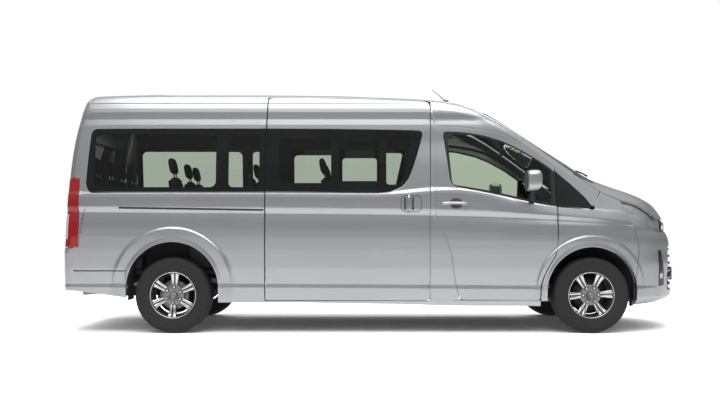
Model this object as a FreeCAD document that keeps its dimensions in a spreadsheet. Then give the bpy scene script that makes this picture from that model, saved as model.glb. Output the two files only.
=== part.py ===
import FreeCAD, Part
import math
import os
import re
from FreeCAD import Vector

# A semi-bonneted long-wheelbase minibus with a high roof, in millimetres.
# +X is forward, +Y is to its left and +Z is up. The origin is on the ground, midway between the
# nose and the tail. Left-hand drive, so the sliding door is on the right, at -Y.

doc = FreeCAD.newDocument("minibus")
sheet = doc.addObject("Spreadsheet::Sheet", "dims")

# alias, value
SIZES = [
    # whole vehicle
    ("wheel_base", 3860), ("front_overhang", 1010), ("rear_overhang", 1045),
    ("overall_width", 1950), ("overall_height", 2280), ("sill_height", 262),
    ("nose_radius", 1094), ("tail_corner_radius", 130),
    # panels
    ("wall_thickness", 60), ("skin_thickness", 12), ("glass_thickness", 5),
    ("shut_gap", 7),
    # wheels
    ("tyre_radius", 352), ("tyre_width", 235), ("rim_radius", 203), ("rim_width", 190),
    ("track", 1674), ("hub_bore_radius", 25.4), ("stub_clearance", 0.4), ("stub_reach", 70),
    ("bead_clearance", 0.3),
    ("front_arch_radius", 415), ("front_arch_rise", 32),
    ("rear_arch_radius", 423), ("rear_arch_rise", 69), ("liner_thickness", 4),
    ("front_liner_inset", 515), ("rear_liner_inset", 686),
    # floor and frame
    ("floor_height", 530), ("floor_thickness", 60), ("rail_offset", 440), ("rail_width", 60),
    ("rail_depth", 94), ("spring_offset", 560), ("spring_width", 70), ("spring_leaf", 24),
    ("axle_tube_radius", 50), ("shaft_radius", 35), ("kingpin_offset", 107),
    ("pin_radius", 13), ("pin_clearance", 0.4), ("post_radius", 24), ("arm_thickness", 28),
    ("lower_arm_height", 215), ("upper_arm_height", 478),
    # doors
    ("hinge_back", 40), ("hinge_depth", 38), ("gate_hinge_depth", 34), ("barrel_radius", 10),
    ("hinge_pin_radius", 5),
    ("barrel_length", 60), ("front_door_edge", 320),
    # seats
    ("seat_width", 430), ("seat_depth", 430), ("seat_pad", 110), ("seat_height", 1000),
    ("back_height", 600), ("back_thickness", 100), ("back_lean", 12), ("row_pitch", 720),
    ("headrest_width", 250),
    ("headrest_height", 190), ("front_seat_width", 500), ("bench_seat_width", 420),
    # mounts
    ("tow_hole_radius", 6.5), ("tow_spacing", 50), ("plate_hole_radius", 3.5), ("jack_pad_length", 120),
]
for line, (alias, size) in enumerate(SIZES, start=1):
    sheet.set("A%d" % line, alias)
    sheet.set("B%d" % line, str(size))
    sheet.setAlias("B%d" % line, alias)
doc.recompute()


class Sizes:
    """The sheet's cells as plain numbers, for the shapes that are worked out in code."""


dim = Sizes()
for alias, size in SIZES:
    setattr(dim, alias, float(sheet.get(alias)))

ALIASES = {alias for alias, size in SIZES}
LENGTH = "(rear_overhang + wheel_base + front_overhang)"
NOSE = LENGTH + " / 2"
FRONT_AXLE = "(" + LENGTH + " / 2 - front_overhang)"
REAR_AXLE = "(rear_overhang - " + LENGTH + " / 2)"

length = dim.rear_overhang + dim.wheel_base + dim.front_overhang
nose = length / 2
tail = -length / 2
front_axle = nose - dim.front_overhang
rear_axle = tail + dim.rear_overhang
half = dim.overall_width / 2
top = dim.overall_height
wall = dim.wall_thickness
gap = dim.shut_gap
door_seam = front_axle - dim.front_door_edge     # the front door's leading edge at the waist
hinge_x = door_seam + dim.hinge_back
hinge_y = half - dim.hinge_depth

nodes = {}


# ---------------------------------------------------------------- helpers

def bound(text):
    """An expression in plain size names, as the document's expressions name the sheet's cells."""
    return re.sub(r"[a-z_]+", lambda m: "dims." + m.group() if m.group() in ALIASES else m.group(),
                  str(text))


def make(kind, name, **sizes):
    """A document object whose properties follow the sheet. x, y and z place it."""
    thing = doc.addObject(kind, name)
    for prop, text in sizes.items():
        path = "Placement.Base." + prop if prop in "xyz" else prop
        thing.setExpression(path, bound(text))
    return thing


def box(name, x0, x1, y0, y1, z0, z1):
    """A box between two corners."""
    return make("Part::Box", name, Length="(%s) - (%s)" % (x1, x0), Width="(%s) - (%s)" % (y1, y0),
                Height="(%s) - (%s)" % (z1, z0), x=x0, y=y0, z=z0)


def rod(name, radius, reach, x, y, z, axis="z"):
    """A cylinder from a point, along an axis."""
    thing = make("Part::Cylinder", name, Radius=radius, Height=reach, x=x, y=y, z=z)
    turn = {"z": (Vector(0, 0, 1), 0), "y": (Vector(1, 0, 0), -90), "x": (Vector(0, 1, 0), 90)}[axis]
    thing.Placement.Rotation = FreeCAD.Rotation(*turn)
    return thing


def fuse(name, *things):
    joined = doc.addObject("Part::MultiFuse", name)
    joined.Shapes = list(things)
    return joined


def common(name, one, two):
    shared = doc.addObject("Part::Common", name)
    shared.Base, shared.Tool = one, two
    return shared


def cut(name, base, *tools):
    for count, tool in enumerate(tools, start=1):
        rest = doc.addObject("Part::Cut", "%s_cut%d" % (name, count))
        rest.Base, rest.Tool = base, tool
        base = rest
    return base


def group(name, *things):
    """Like pieces that don't touch, in one node."""
    together = doc.addObject("Part::Compound", name)
    together.Links = list(things)
    return together


def mirrored(name, thing):
    """The same piece on the vehicle's other side."""
    other = doc.addObject("Part::Mirroring", name)
    other.Source = thing
    other.Normal = Vector(0, 1, 0)
    return other


def feature(name, shape):
    """A shape worked out in code from the sheet's sizes."""
    thing = doc.addObject("Part::Feature", name)
    thing.Shape = shape
    return thing


def node(label, thing):
    """Name a finished sub-part. Its label is its file's name."""
    thing.Label = label
    nodes[label] = thing
    return thing


def outline(corners, place):
    """A closed wire through (a, b, radius) corners, each rounded by its radius."""
    count = len(corners)
    spots = [Vector(a, b, 0) for a, b, radius in corners]
    starts, ends, mids = [], [], []
    for i, (a, b, radius) in enumerate(corners):
        here, before, after = spots[i], spots[i - 1], spots[(i + 1) % count]
        back, ahead = (before - here).normalize(), (after - here).normalize()
        half_turn = back.getAngle(ahead) / 2
        run = radius / math.tan(half_turn) if radius else 0
        starts.append(here + back * run)
        ends.append(here + ahead * run)
        bisector = back + ahead
        middle = here
        if radius:
            middle = here + bisector.normalize() * (radius / math.sin(half_turn) - radius)
        mids.append(middle)
    edges = []
    for i, (a, b, radius) in enumerate(corners):
        after = (i + 1) % count
        if radius:
            edges.append(Part.Arc(place(starts[i]), place(mids[i]), place(ends[i])).toShape())
        if (starts[after] - ends[i]).Length > 0.001:
            edges.append(Part.LineSegment(place(ends[i]), place(starts[after])).toShape())
    return Part.Face(Part.Wire(edges))


def side_prism(name, corners, y0, y1):
    """An (x, z, radius) outline, carried across the vehicle from y0 to y1."""
    face = outline(corners, lambda p: Vector(p.x, y0, p.y))
    return feature(name, face.extrude(Vector(0, y1 - y0, 0)))


def plan_prism(name, corners, z0, z1):
    """An (x, y, radius) outline, carried up from z0 to z1."""
    face = outline(corners, lambda p: Vector(p.x, p.y, z0))
    return feature(name, face.extrude(Vector(0, 0, z1 - z0)))


def end_prism(name, corners, x0, x1):
    """A (y, z, radius) outline, carried along the vehicle from x0 to x1."""
    face = outline(corners, lambda p: Vector(x0, p.x, p.y))
    return feature(name, face.extrude(Vector(x1 - x0, 0, 0)))


def grown(corners, by):
    """An outline moved outwards by a distance, its corners kept."""
    count = len(corners)
    area = sum(corners[i - 1][0] * corners[i][1] - corners[i][0] * corners[i - 1][1]
               for i in range(count))
    side = 1 if area > 0 else -1
    moved = []
    for i, (a, b, radius) in enumerate(corners):
        before, after = corners[i - 1], corners[(i + 1) % count]
        one = Vector(a - before[0], b - before[1], 0).normalize()
        two = Vector(after[0] - a, after[1] - b, 0).normalize()
        out_one = Vector(one.y, -one.x, 0) * side
        out_two = Vector(two.y, -two.x, 0) * side
        shift = (out_one + out_two) * (by / (1 + out_one.dot(out_two)))
        turns_out = one.cross(two).z * side > 0
        new_radius = max(radius + (by if turns_out else -by), 0.5) if radius else 0
        moved.append((a + shift.x, b + shift.y, new_radius))
    return moved


# ---------------------------------------------------------------- body envelope

# Cross-sections from tail to nose. from: where x is measured from. drops are below the roof's
# height, insets are from the half width.
# from, x, belt height, belt inset, waist height, waist inset, header drop, header inset,
# gutter drop, gutter inset, ridge drop, ridge inset, crown drop
STATIONS = [
    ("tail", -60, 1114, 2, 1300, 22, 385, 92, 185, 135, 95, 215, 25),
    ("tail", 960, 1108, 0, 1300, 20, 385, 90, 170, 130, 65, 220, 0),
    ("front", -1915, 1090, 0, 1300, 22, 385, 90, 180, 130, 85, 220, 18),
    ("front", -1490, 1084, 0, 1295, 24, 390, 92, 200, 135, 110, 220, 40),
    ("front", -1082, 1070, 0, 1285, 28, 415, 100, 275, 165, 185, 225, 95),
    ("front", -758, 1058, 2, 1270, 32, 490, 125, 410, 165, 355, 215, 255),
    ("front", -131, 1020, 10, 1180, 45, 860, 140, 825, 165, 785, 190, 682),
    ("front", 302, 995, 24, 1100, 60, 1130, 100, 1090, 130, 1045, 160, 880),
    ("front", 652, 955, 50, 1000, 75, 1245, 100, 1220, 130, 1190, 160, 990),
    ("front", 860, 900, 80, 925, 95, 1345, 120, 1330, 150, 1310, 190, 1125),
    ("front", 1030, 820, 110, 860, 125, 1402, 150, 1385, 180, 1370, 220, 1285),
]
# from, x, z: the silhouette behind, above, ahead of and below the body
TAIL_PROFILE = [
    (150, 2330), (205 - 12, 2200), (145, 2080), (100, 1897), (62, 1690), (38, 1440),
    (17, 1000), (12, 745), (0, 730), (0, 400),
]
BELLY_PROFILE = [("tail", 18, 392), ("tail", 600, 336), ("rear", 415, 289), ("front", -1125, 258)]
NOSE_PROFILE = [(-220, 258), (-38, 296), (0, 330), (0, 620), (-17, 800), (-38, 900), (-72, 964),
                (-70, 1103), (0, 1160), (0, 1500), (-1500, 2330)]
ANCHOR = {"tail": tail, "rear": rear_axle, "front": front_axle, "nose": nose}


def section(x, row, inset):
    """One closed cross-section of the body, moved inwards by a wall."""
    (belt, belt_in, waist, waist_in, header, header_in, gutter, gutter_in, ridge, ridge_in,
     crown) = row
    points = [
        (45 + inset, 180), (14 + inset, 420), (inset, 760), (belt_in + inset, belt),
        (belt_in + 14 + inset, belt + 0.35 * (waist - belt)), (waist_in + inset, waist),
        (header_in + inset, top - header - 0.2 * inset),
        (gutter_in + 0.9 * inset, top - gutter - 0.45 * inset),
        (ridge_in + 0.6 * inset, top - ridge - 0.8 * inset),
    ]
    right = [Vector(x, -(half - a), b) for a, b in points]
    left = [Vector(p.x, -p.y, p.z) for p in reversed(right)]
    edges = [Part.makeLine(a, b) for a, b in zip(right, right[1:])]
    edges.append(Part.Arc(right[-1], Vector(x, 0, top - crown - inset), left[0]).toShape())
    edges += [Part.makeLine(a, b) for a, b in zip(left, left[1:])]
    edges.append(Part.makeLine(left[-1], right[0]))
    return Part.Wire(edges)


def envelope(name, inset):
    """The body's outer shape, moved inwards by a wall and left open below."""
    wires = [section(ANCHOR[row[0]] + row[1], row[2:], inset) for row in STATIONS]
    hull = feature(name + "_hull", Part.makeLoft(wires, True, True))
    deep = 200 if inset else 0
    profile = [(tail + x + inset, z, 0) for x, z in TAIL_PROFILE]
    profile += [(ANCHOR[a] + x, z - deep, 0) for a, x, z in BELLY_PROFILE]
    profile += [(nose + x - inset, z - (deep if z < 300 else 0), 0) for x, z in NOSE_PROFILE]
    side = side_prism(name + "_side", profile, -half - 200, half + 200)
    radius = dim.nose_radius - inset
    centre = nose - dim.nose_radius
    wide = half + 60
    reach = math.sqrt(max(radius ** 2 - wide ** 2, 0))
    corner = dim.tail_corner_radius
    tail_x = tail + inset
    right = [Vector(tail + 600, -(half + 25 - inset), 0), Vector(tail_x + corner, -(half - 20 - inset), 0)]
    edges = [
        Part.Arc(Vector(centre + reach, -wide, 0), Vector(centre + radius, 0, 0),
                 Vector(centre + reach, wide, 0)).toShape(),
        Part.makeLine(Vector(centre + reach, wide, 0), Vector(tail + 600, wide, 0)),
        Part.makeLine(Vector(tail + 600, wide, 0), Vector(right[0].x, -right[0].y, 0)),
        Part.makeLine(Vector(right[0].x, -right[0].y, 0), Vector(right[1].x, -right[1].y, 0)),
        Part.makeLine(Vector(right[1].x, -right[1].y, 0), Vector(tail_x, -right[1].y - corner, 0)),
        Part.makeLine(Vector(tail_x, -right[1].y - corner, 0), Vector(tail_x, right[1].y + corner, 0)),
        Part.makeLine(Vector(tail_x, right[1].y + corner, 0), right[1]),
        Part.makeLine(right[1], right[0]),
        Part.makeLine(right[0], Vector(tail + 600, -wide, 0)),
        Part.makeLine(Vector(tail + 600, -wide, 0), Vector(centre + reach, -wide, 0)),
    ]
    plan = feature(name + "_plan", Part.Face(Part.Wire(edges)).extrude(Vector(0, 0, top + 100)))
    return common(name, common(name + "_sides", hull, side), plan)


outer = envelope("outer", 0)
core = envelope("core", wall)
skin_core = envelope("skin_core", dim.skin_thickness)
glass_core = envelope("glass_core", dim.glass_thickness)
shell = cut("shell", outer, core)
skin = cut("skin", outer, skin_core)
flush_glass = cut("flush_glass", outer, glass_core)

# ---------------------------------------------------------------- outlines

far = half + 200
door_back = front_axle - 1430                # the front door's rear edge
slide_front, slide_back = front_axle - 1497, front_axle - 3011
wing_back = front_axle - 490                 # where the sill ends and the wing's foot begins
wing_top = 1186
pillar_foot = front_axle - 158               # where the windscreen pillar meets the wing
header = front_axle - 1048                   # the windscreen's upper edge
glass_foot = front_axle + 60                 # the windscreen's lower edge
bonnet_back = front_axle + 140
gutter = top - 180

front_door_outline = [
    (door_back + 3, 1090, 30), (door_back + 3, top - 374, 25), (front_axle - 1255, top - 372, 200),
    (front_axle - 880, top - 425, 200), (front_axle - 610, top - 530, 100), (door_seam, top - 742, 15),
    (door_seam, 745, 60), (front_axle - 440, 560, 60), (front_axle - 479, 385, 30),
    (front_axle - 479, 314, 15), (front_axle - 1213, 314, 40), (front_axle - 1250, 520, 200),
    (front_axle - 1290, 760, 200), (front_axle - 1360, 930, 100),
]
front_glass_outline = [
    (front_axle - 1350, top - 440, 25), (front_axle - 1050, top - 436, 200),
    (front_axle - 830, top - 490, 200), (front_axle - 600, top - 590, 100),
    (front_axle - 395, top - 775, 20), (front_axle - 395, 1186, 15), (front_axle - 640, 1224, 200),
    (front_axle - 1270, 1347, 40), (front_axle - 1303, 1394, 30),
]
quarter_glass_outline = [
    (door_seam + gap / 2, top - 770, 5), (front_axle - 153, top - 918, 5),
    (front_axle + 18, 1155, 12), (door_seam + gap / 2, 1180, 5),
]
slide_outline = [
    (slide_back, 300, 30), (slide_back, 1229, 0), (slide_back + 4, top - 380, 0),
    (slide_back + 22, top - 90, 60), (slide_front - 6, top - 103, 60), (slide_front, top - 190, 0),
    (slide_front, 300, 30),
]
# the dark glass band, one recess that runs on under the sliding door's rear seam
band_outline = [
    (tail + 278, top - 386, 40), (tail + 235, 1390, 0), (tail + 248, 1300, 25),
    (front_axle - 1930, 1300, 120), (front_axle - 1710, 1370, 90), (front_axle - 1545, top - 404, 40),
    (slide_back - 200, top - 385, 0),
]
# rear edge, front edge below, front edge above, lower edge, drop of the upper edge, corner radius
REAR_PANES = [
    (tail + 318, slide_back - 453, slide_back - 453, 1349, 440, 60),
    (slide_back - 336, slide_back - 53, slide_back - 53, 1349, 440, 40),
]
SLIDE_PANES = [
    (front_axle - 2878, front_axle - 2402, front_axle - 2402, 1387, 477, 50),
    (front_axle - 2334, front_axle - 1944, front_axle - 1944, 1387, 500, 40),
    (front_axle - 1885, front_axle - 1750, front_axle - 1655, 1392, 453, 30),
]


def pane_holes(name, table, y0, y1):
    """One rounded opening behind the glass band for each row of a table."""
    holes = []
    for count, (x0, low, high, z0, drop, radius) in enumerate(table, start=1):
        corners = [(x0, z0, radius), (low, z0, radius), (high, top - drop, radius), (x0, top - drop, radius)]
        holes.append(side_prism("%s%d" % (name, count), corners, y0, y1))
    return fuse(name, *holes)


tail_seam = [(tail + 256, top + 100), (tail + 256, top - 82), (tail + 212, top - 197),
             (tail + 169, top - 380),
             (tail + 132, top - 594), (tail + 114, 1433)]
behind = tail - 200


def seam_prism(name, shift):
    """What lies behind the tailgate's seam, moved back by a shift."""
    corners = [(behind, top + 100, 0)] + [(x - shift, z, 0) for x, z in tail_seam]
    corners += [(tail + 114 - shift, 745 + shift, 0), (behind, 745 + shift, 0)]
    return side_prism(name, corners, -far, far)


lamp_front = [(tail + 110, 1434), (tail + 140, 791)]

gate_cut = seam_prism("gate_cut", 0)
gate_space = seam_prism("gate_space", gap)
lamp_side = side_prism("lamp_side", [(lamp_front[0][0], 1434, 0), (lamp_front[1][0], 791, 0),
                                     (behind, 791, 0), (behind, 1434, 0)], -far, far)
lamp_zone = cut("lamp_zone", lamp_side,
                box("lamp_middle", LENGTH + " / -2 - 300", LENGTH + " / -2 + 400",
                    "175 - overall_width / 2", "overall_width / 2 - 175", "700", "1500"))
# the rear bumper rises to the lamps at its corners
bumper_low = side_prism("bumper_low", [(rear_axle - 415, 100, 0), (rear_axle - 415, 579, 0),
                                       (tail + 140, 579, 0),
                                       (tail + 140, 745, 0), (behind, 745, 0), (behind, 100, 0)], -far, far)
bumper_rise = side_prism("bumper_rise", [(tail + 140, 700, 0), (tail + 140, 791, 0), (behind, 791, 0),
                                         (behind, 700, 0)], -far, far)
bumper_corners = cut("bumper_corners", bumper_rise,
                     box("bumper_middle", LENGTH + " / -2 - 300", LENGTH + " / -2 + 400",
                         "175 - overall_width / 2", "overall_width / 2 - 175", "600", "900"))
bumper_rear_zone = fuse("bumper_rear_zone", bumper_low, bumper_corners)
bumper_front_zone = side_prism("bumper_front_zone", [
    (front_axle + 415, 100, 0), (front_axle + 432, 800, 0), (front_axle + 432, 860, 0),
    (front_axle + 405, 975, 0), (front_axle + 660, 925, 0), (nose + 200, 925, 0), (nose + 200, 100, 0)], -far,
    far)
headlamp_outline = [(front_axle + 290, 1228, 8), (front_axle + 470, 975, 8), (front_axle + 660, 925, 0),
                    (nose + 100, 925, 0), (nose + 100, 1075, 0), (front_axle + 655, 1090, 60)]
headlamp_side = side_prism("headlamp_side", headlamp_outline, -far, far)
headlamp_zone = cut("headlamp_zone", headlamp_side,
                    box("grille_middle", FRONT_AXLE, NOSE + " + 200", "-480", "480", "600", "1400"))
arch_rows = [("front", front_axle, dim.front_arch_radius, dim.front_arch_rise),
             ("rear", rear_axle, dim.rear_arch_radius, dim.rear_arch_rise)]


def arch_prism(name, x, radius, rise, y0, y1, grow=0):
    """A wheel arch: a half round above the wheel with straight legs down to below the sill."""
    rim = radius + grow
    z = dim.tyre_radius + rise
    edges = [Part.Arc(Vector(x - rim, y0, z), Vector(x, y0, z + rim), Vector(x + rim, y0, z)).toShape(),
             Part.makeLine(Vector(x + rim, y0, z), Vector(x + rim, y0, 100)),
             Part.makeLine(Vector(x + rim, y0, 100), Vector(x - rim, y0, 100)),
             Part.makeLine(Vector(x - rim, y0, 100), Vector(x - rim, y0, z))]
    return feature(name, Part.Face(Part.Wire(edges)).extrude(Vector(0, y1 - y0, 0)))


arches = {name: arch_prism(name + "_arch", x, radius, rise, -far, far) for name, x, radius, rise in arch_rows}

# ---------------------------------------------------------------- fixed body panels

windscreen_plan = [(header, -560, 40), (glass_foot, -700, 40), (glass_foot, 700, 40), (header, 560, 40)]
screen_space = plan_prism("screen_space", windscreen_plan, 1200, top + 100)
bonnet_plan = [(bonnet_back, -735, 30), (front_axle + 330, -740, 60), (front_axle + 640, -690, 60),
               (nose + 60, -560, 0), (nose + 60, 560, 0), (front_axle + 640, 690, 60),
               (front_axle + 330, 740, 60),
               (bonnet_back, 735, 30)]
bonnet_low = 1080
bonnet_zone = plan_prism("bonnet_zone", grown(bonnet_plan, -gap), bonnet_low, top)
bonnet_space = plan_prism("bonnet_space", bonnet_plan, bonnet_low - gap, top)

front_door_hole = {
    "right": side_prism("door_hole_right", grown(front_door_outline, gap), -far, -300),
    "left": side_prism("door_hole_left", grown(front_door_outline, gap), 300, far),
}
slide_hole = side_prism("slide_hole", grown(slide_outline, gap / 2), -far, -300)

roof_zone = side_prism("roof_zone", [(tail, gutter, 0), (header, gutter, 0), (header, top + 100, 0),
                                     (tail, top + 100, 0)], -far, far)
# tailgate hinges, under the roof's rear edge
gate_hinge_x = tail + 256 + 62
gate_hinge_z = top - 67
GATE_HINGES = [-420, 420]
hinge_pockets, hinge_ears = [], []
for count, y in enumerate(GATE_HINGES, start=1):
    pocket = Part.makeBox(112, 84, 300, Vector(gate_hinge_x - 90, y - 42, gate_hinge_z + 14 - 300))
    notch = Part.makeBox(29, 62, 160, Vector(gate_hinge_x - 63, y - 31, gate_hinge_z - 50))
    hinge_pockets.append(feature("hinge_pocket%d" % count, pocket.fuse(notch)))
    for end in (-1, 1):
        ear = Part.makeBox(40, 8, 22, Vector(gate_hinge_x - 8, y + end * 30 - 4, gate_hinge_z - 8))
        hinge_ears.append(feature("roof_ear%d%d" % (count, end + 1), ear))
    pin = Part.makeCylinder(dim.hinge_pin_radius, 62, Vector(gate_hinge_x, y - 31, gate_hinge_z),
                            Vector(0, 1, 0))
    hinge_ears.append(feature("roof_pin%d" % count, pin))
roof_panel = cut("roof_panel", common("roof_shell", shell, roof_zone), gate_cut, slide_hole, screen_space,
                 *hinge_pockets)
node("roof", fuse("roof", roof_panel, *hinge_ears))

right_half = box("right_half", LENGTH + " / -2 - 100", LENGTH + " / 2 + 100", "-overall_width", "0", "0",
                 "overall_height + 200")
left_half = box("left_half", LENGTH + " / -2 - 100", LENGTH + " / 2 + 100", "0", "overall_width", "0",
                "overall_height + 200")
middle = box("middle", LENGTH + " / -2 - 50", LENGTH + " / 2 + 50", "-520", "520", "0",
             "overall_height + 100")

# Bonded glass lies flush in a recess of its panel, over the openings cut through the panel.
band = side_prism("band", band_outline, -far, far)
quarter = side_prism("quarter", quarter_glass_outline, -far, far)
band_recess = cut("band_recess", fuse("bands", band, quarter), glass_core)
band_glass = common("band_glass", flush_glass, band)
quarter_glass = common("quarter_glass", flush_glass, quarter)
rear_side = side_prism("rear_side", [
    (tail, 1200, 0), (slide_back - gap / 2, 1200, 0), (slide_back + 7 - gap / 2, top, 0), (tail, top, 0)],
    -far, far)
slide_side = side_prism("slide_side", [
    (slide_back + gap / 2, 1200, 0), (door_back, 1200, 0), (door_back, top, 0),
    (slide_back + 7 + gap / 2, top, 0)],
    -far, far)
rear_glass = common("rear_glass", band_glass, rear_side)
slide_glass = common("slide_glass", band_glass, slide_side)
node("side_windows", group("side_windows", rear_glass, quarter_glass, slide_glass))
node("windscreen", common("windscreen", flush_glass, screen_space))

rear_holes = pane_holes("rear_pane", REAR_PANES, -far, far)
slide_holes = pane_holes("slide_pane", SLIDE_PANES, -far, far)
open_shell = cut("open_shell", shell, band_recess, rear_holes, slide_holes)

side_zone = side_prism("side_zone", [
    (tail, 0, 0), (wing_back, 0, 0), (wing_back, wing_top, 0), (pillar_foot, wing_top, 0),
    (pillar_foot, top, 0), (header, top, 0), (header, gutter, 0), (tail, gutter, 0)], -far, far)
side_walls = cut("side_walls", common("side_shell", open_shell, side_zone), gate_cut, lamp_zone,
                 bumper_rear_zone, screen_space, arches["rear"], middle)
post_shape = cut("post_shape", skin_core, core)
post_zone = side_prism("post_zone", [
    (hinge_x + 18, 760, 0), (hinge_x + 90, 800, 0), (hinge_x + 90, wing_top, 0), (hinge_x + 18, wing_top, 0)],
    -far, far)
hinge_post = cut("hinge_post", common("hinge_posts", post_shape, post_zone), middle)
# hinge heights on the front doors
DOOR_HINGES = [800, 920]


def ears(name, y_sign):
    """The fixed half of a front door's hinges: two ears and the pin between them, for each."""
    pieces = []
    for count, z in enumerate(DOOR_HINGES, start=1):
        barrel = dim.barrel_length / 2
        y = y_sign * hinge_y
        for side in (-1, 1):
            z0 = z + side * (barrel + 1) - (8 if side < 0 else 0)
            plate = Part.makeBox(18 + dim.barrel_radius + 10, 16, 8, Vector(hinge_x - 8, y - 8, z0))
            pieces.append(feature("%s_ear%d%d" % (name, count, side + 1), plate))
        pin = Part.makeCylinder(dim.hinge_pin_radius, dim.barrel_length + 10,
                                Vector(hinge_x, y, z - barrel - 5))
        pieces.append(feature("%s_pin%d" % (name, count), pin))
    return pieces


slide_prism = side_prism("slide_prism", slide_outline, -far, -300)
right_wall = cut("right_wall", common("right_walls", side_walls, right_half), slide_hole,
                 front_door_hole["right"])
right_post = common("right_post", hinge_post, right_half)
node("side_panel_right", fuse("side_panel_right", right_wall, right_post, *ears("right", -1)))
left_wall = cut("left_wall", common("left_walls", side_walls, left_half), front_door_hole["left"])
left_post = common("left_post", hinge_post, left_half)
node("side_panel_left", fuse("side_panel_left", left_wall, left_post, *ears("left", 1)))
node("sliding_door", common("sliding_door", open_shell, slide_prism))

wing_zone = side_prism("wing_zone", [
    (wing_back, 0, 0), (nose, 0, 0), (nose, 1700, 0), (pillar_foot, 1700, 0), (pillar_foot, wing_top, 0),
    (wing_back, wing_top, 0)], -far, far)
cowl_zone = plan_prism("cowl_zone", [(glass_foot, -735, 0), (bonnet_back, -735, 0), (bonnet_back, 735, 0),
                                     (glass_foot, 735, 0)], 1200, top)
# bonnet hinges, under the cowl
bonnet_hinge_x = front_axle + 80
bonnet_hinge_z = top - 824
BONNET_HINGES = [-300, 300]
cowl_ears, arm_slots = [], []
for count, y in enumerate(BONNET_HINGES, start=1):
    for end in (-1, 1):
        ear = Part.makeBox(20, 8, 24, Vector(bonnet_hinge_x - 10, y + end * 30 - 4, bonnet_hinge_z - 8))
        cowl_ears.append(feature("cowl_ear%d%d" % (count, end + 1), ear))
    pin = Part.makeCylinder(dim.hinge_pin_radius, 62, Vector(bonnet_hinge_x, y - 31, bonnet_hinge_z),
                            Vector(0, 1, 0))
    cowl_ears.append(feature("cowl_pin%d" % count, pin))
    slot = Part.makeBox(90, 60, 220, Vector(bonnet_hinge_x + 13, y - 30, bonnet_hinge_z - 110))
    arm_slots.append(feature("arm_slot%d" % count, slot))
cowl_skin = cut("cowl_skin", common("cowl_shell", skin, cowl_zone), bonnet_space, *arm_slots)
node("cowl_panel", fuse("cowl_panel", cowl_skin, *cowl_ears))
wings = cut("wings", common("wing_skin", skin, wing_zone), arches["front"], bumper_front_zone, headlamp_zone,
            bonnet_space, cowl_zone, screen_space, middle, front_door_hole["right"], front_door_hole["left"],
            band_recess)
node("front_wings", wings)
node("headlights", cut("headlights", common("headlamp_shell", shell, headlamp_zone), bonnet_space))
node("tail_lamps", common("tail_lamps", shell, lamp_zone))
grille_zone = box("grille_zone", FRONT_AXLE + " + 600", NOSE + " + 100", "-480", "480", "925", "1080")
intake_zone = box("intake_zone", FRONT_AXLE + " + 600", NOSE + " + 100", "-560", "560", "430", "800")
slats = [box("slat%d" % n, FRONT_AXLE + " + 600", NOSE + " + 100", "-530", "530", str(470 + 66 * n),
             str(470 + 66 * n + 36)) for n in range(5)]
upper_slats = [box("upper_slat%d" % n, FRONT_AXLE + " + 600", NOSE + " + 100", "-440", "440",
                   str(950 + 52 * n), str(950 + 52 * n + 22)) for n in range(2)]
upper_grille = cut("upper_grille", common("upper_grille_shell", shell, grille_zone), *upper_slats,
                   bonnet_space)
lower_grille = cut("lower_grille", common("lower_grille_shell", shell, intake_zone), *slats)
node("grille", group("grille", upper_grille, lower_grille))
node("front_bumper", cut("front_bumper", common("front_bumper_shell", shell, bumper_front_zone),
                         arches["front"], intake_zone))
node("rear_bumper", cut("rear_bumper", common("rear_bumper_shell", shell, bumper_rear_zone), arches["rear"]))

# ---------------------------------------------------------------- opening panels

def neck(hinge_back, depth):
    """A hinge's goose-neck, which passes under the fixed panel's edge to the moving panel's back."""
    inner = depth - wall
    points = [(-6, 0), (-6, inner - 24), (hinge_back + 42, inner - 24), (hinge_back + 42, inner),
              (hinge_back + 14, inner), (hinge_back + 14, inner - 12), (6, inner - 12), (6, 0)]
    return points


def door_hinges(name, y_sign):
    """The moving half of a front door's hinges: a barrel on the pin, and its neck to the door."""
    pieces = []
    for count, z in enumerate(DOOR_HINGES, start=1):
        low = z - dim.barrel_length / 2
        y = y_sign * hinge_y
        points = [Vector(hinge_x - u, y + y_sign * v, low) for u, v in neck(dim.hinge_back, dim.hinge_depth)]
        arm = Part.Face(Part.makePolygon(points + points[:1])).extrude(Vector(0, 0, dim.barrel_length))
        barrel = Part.makeCylinder(dim.barrel_radius, dim.barrel_length, Vector(hinge_x, y, low))
        bore = Part.makeCylinder(dim.hinge_pin_radius + dim.pin_clearance, dim.barrel_length,
                                 Vector(hinge_x, y, low))
        pieces.append(feature("%s_hinge%d" % (name, count), arm.fuse(barrel).cut(bore)))
    return pieces


door_prism = side_prism("door_prism", front_door_outline, -far, far)
door_window = side_prism("door_window", front_glass_outline, -far, far)
# the leading edge slopes back through the wall, so that it swings clear behind the wing
bevels = []
for side, y_sign in (("right", -1), ("left", 1)):
    slope = [(door_seam + 20, y_sign * (half + 18), 0), (door_seam - 38, y_sign * (half - 40), 0),
             (door_seam - 20, y_sign * (half - 40), 0), (door_seam - 20, y_sign * (half - 70), 0),
             (door_seam + 20, y_sign * (half - 70), 0)]
    bevels.append(plan_prism("bevel_" + side, slope, 500, wing_top))
bevels.append(side_prism("edge_relief", [
    (door_seam - 14, 880, 0), (door_seam - 14, 740, 0), (front_axle - 454, 548, 0),
    (front_axle - 380, 520, 0),
    (door_seam + 60, 700, 0), (door_seam + 60, 880, 0)], 14 - half, half - 14))
door_shells = cut("door_shells", common("door_walls", shell, door_prism), middle, door_window, *bevels)
door_glass = common("door_glass", flush_glass, door_window)
for side, y_sign, part_half in (("right", -1, right_half), ("left", 1, left_half)):
    panel = common("door_%s" % side, door_shells, part_half)
    node("front_door_" + side, fuse("front_door_" + side, panel, *door_hinges("door_" + side, y_sign)))
    node("front_door_glass_" + side, common("door_glass_" + side, door_glass, part_half))

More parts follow.
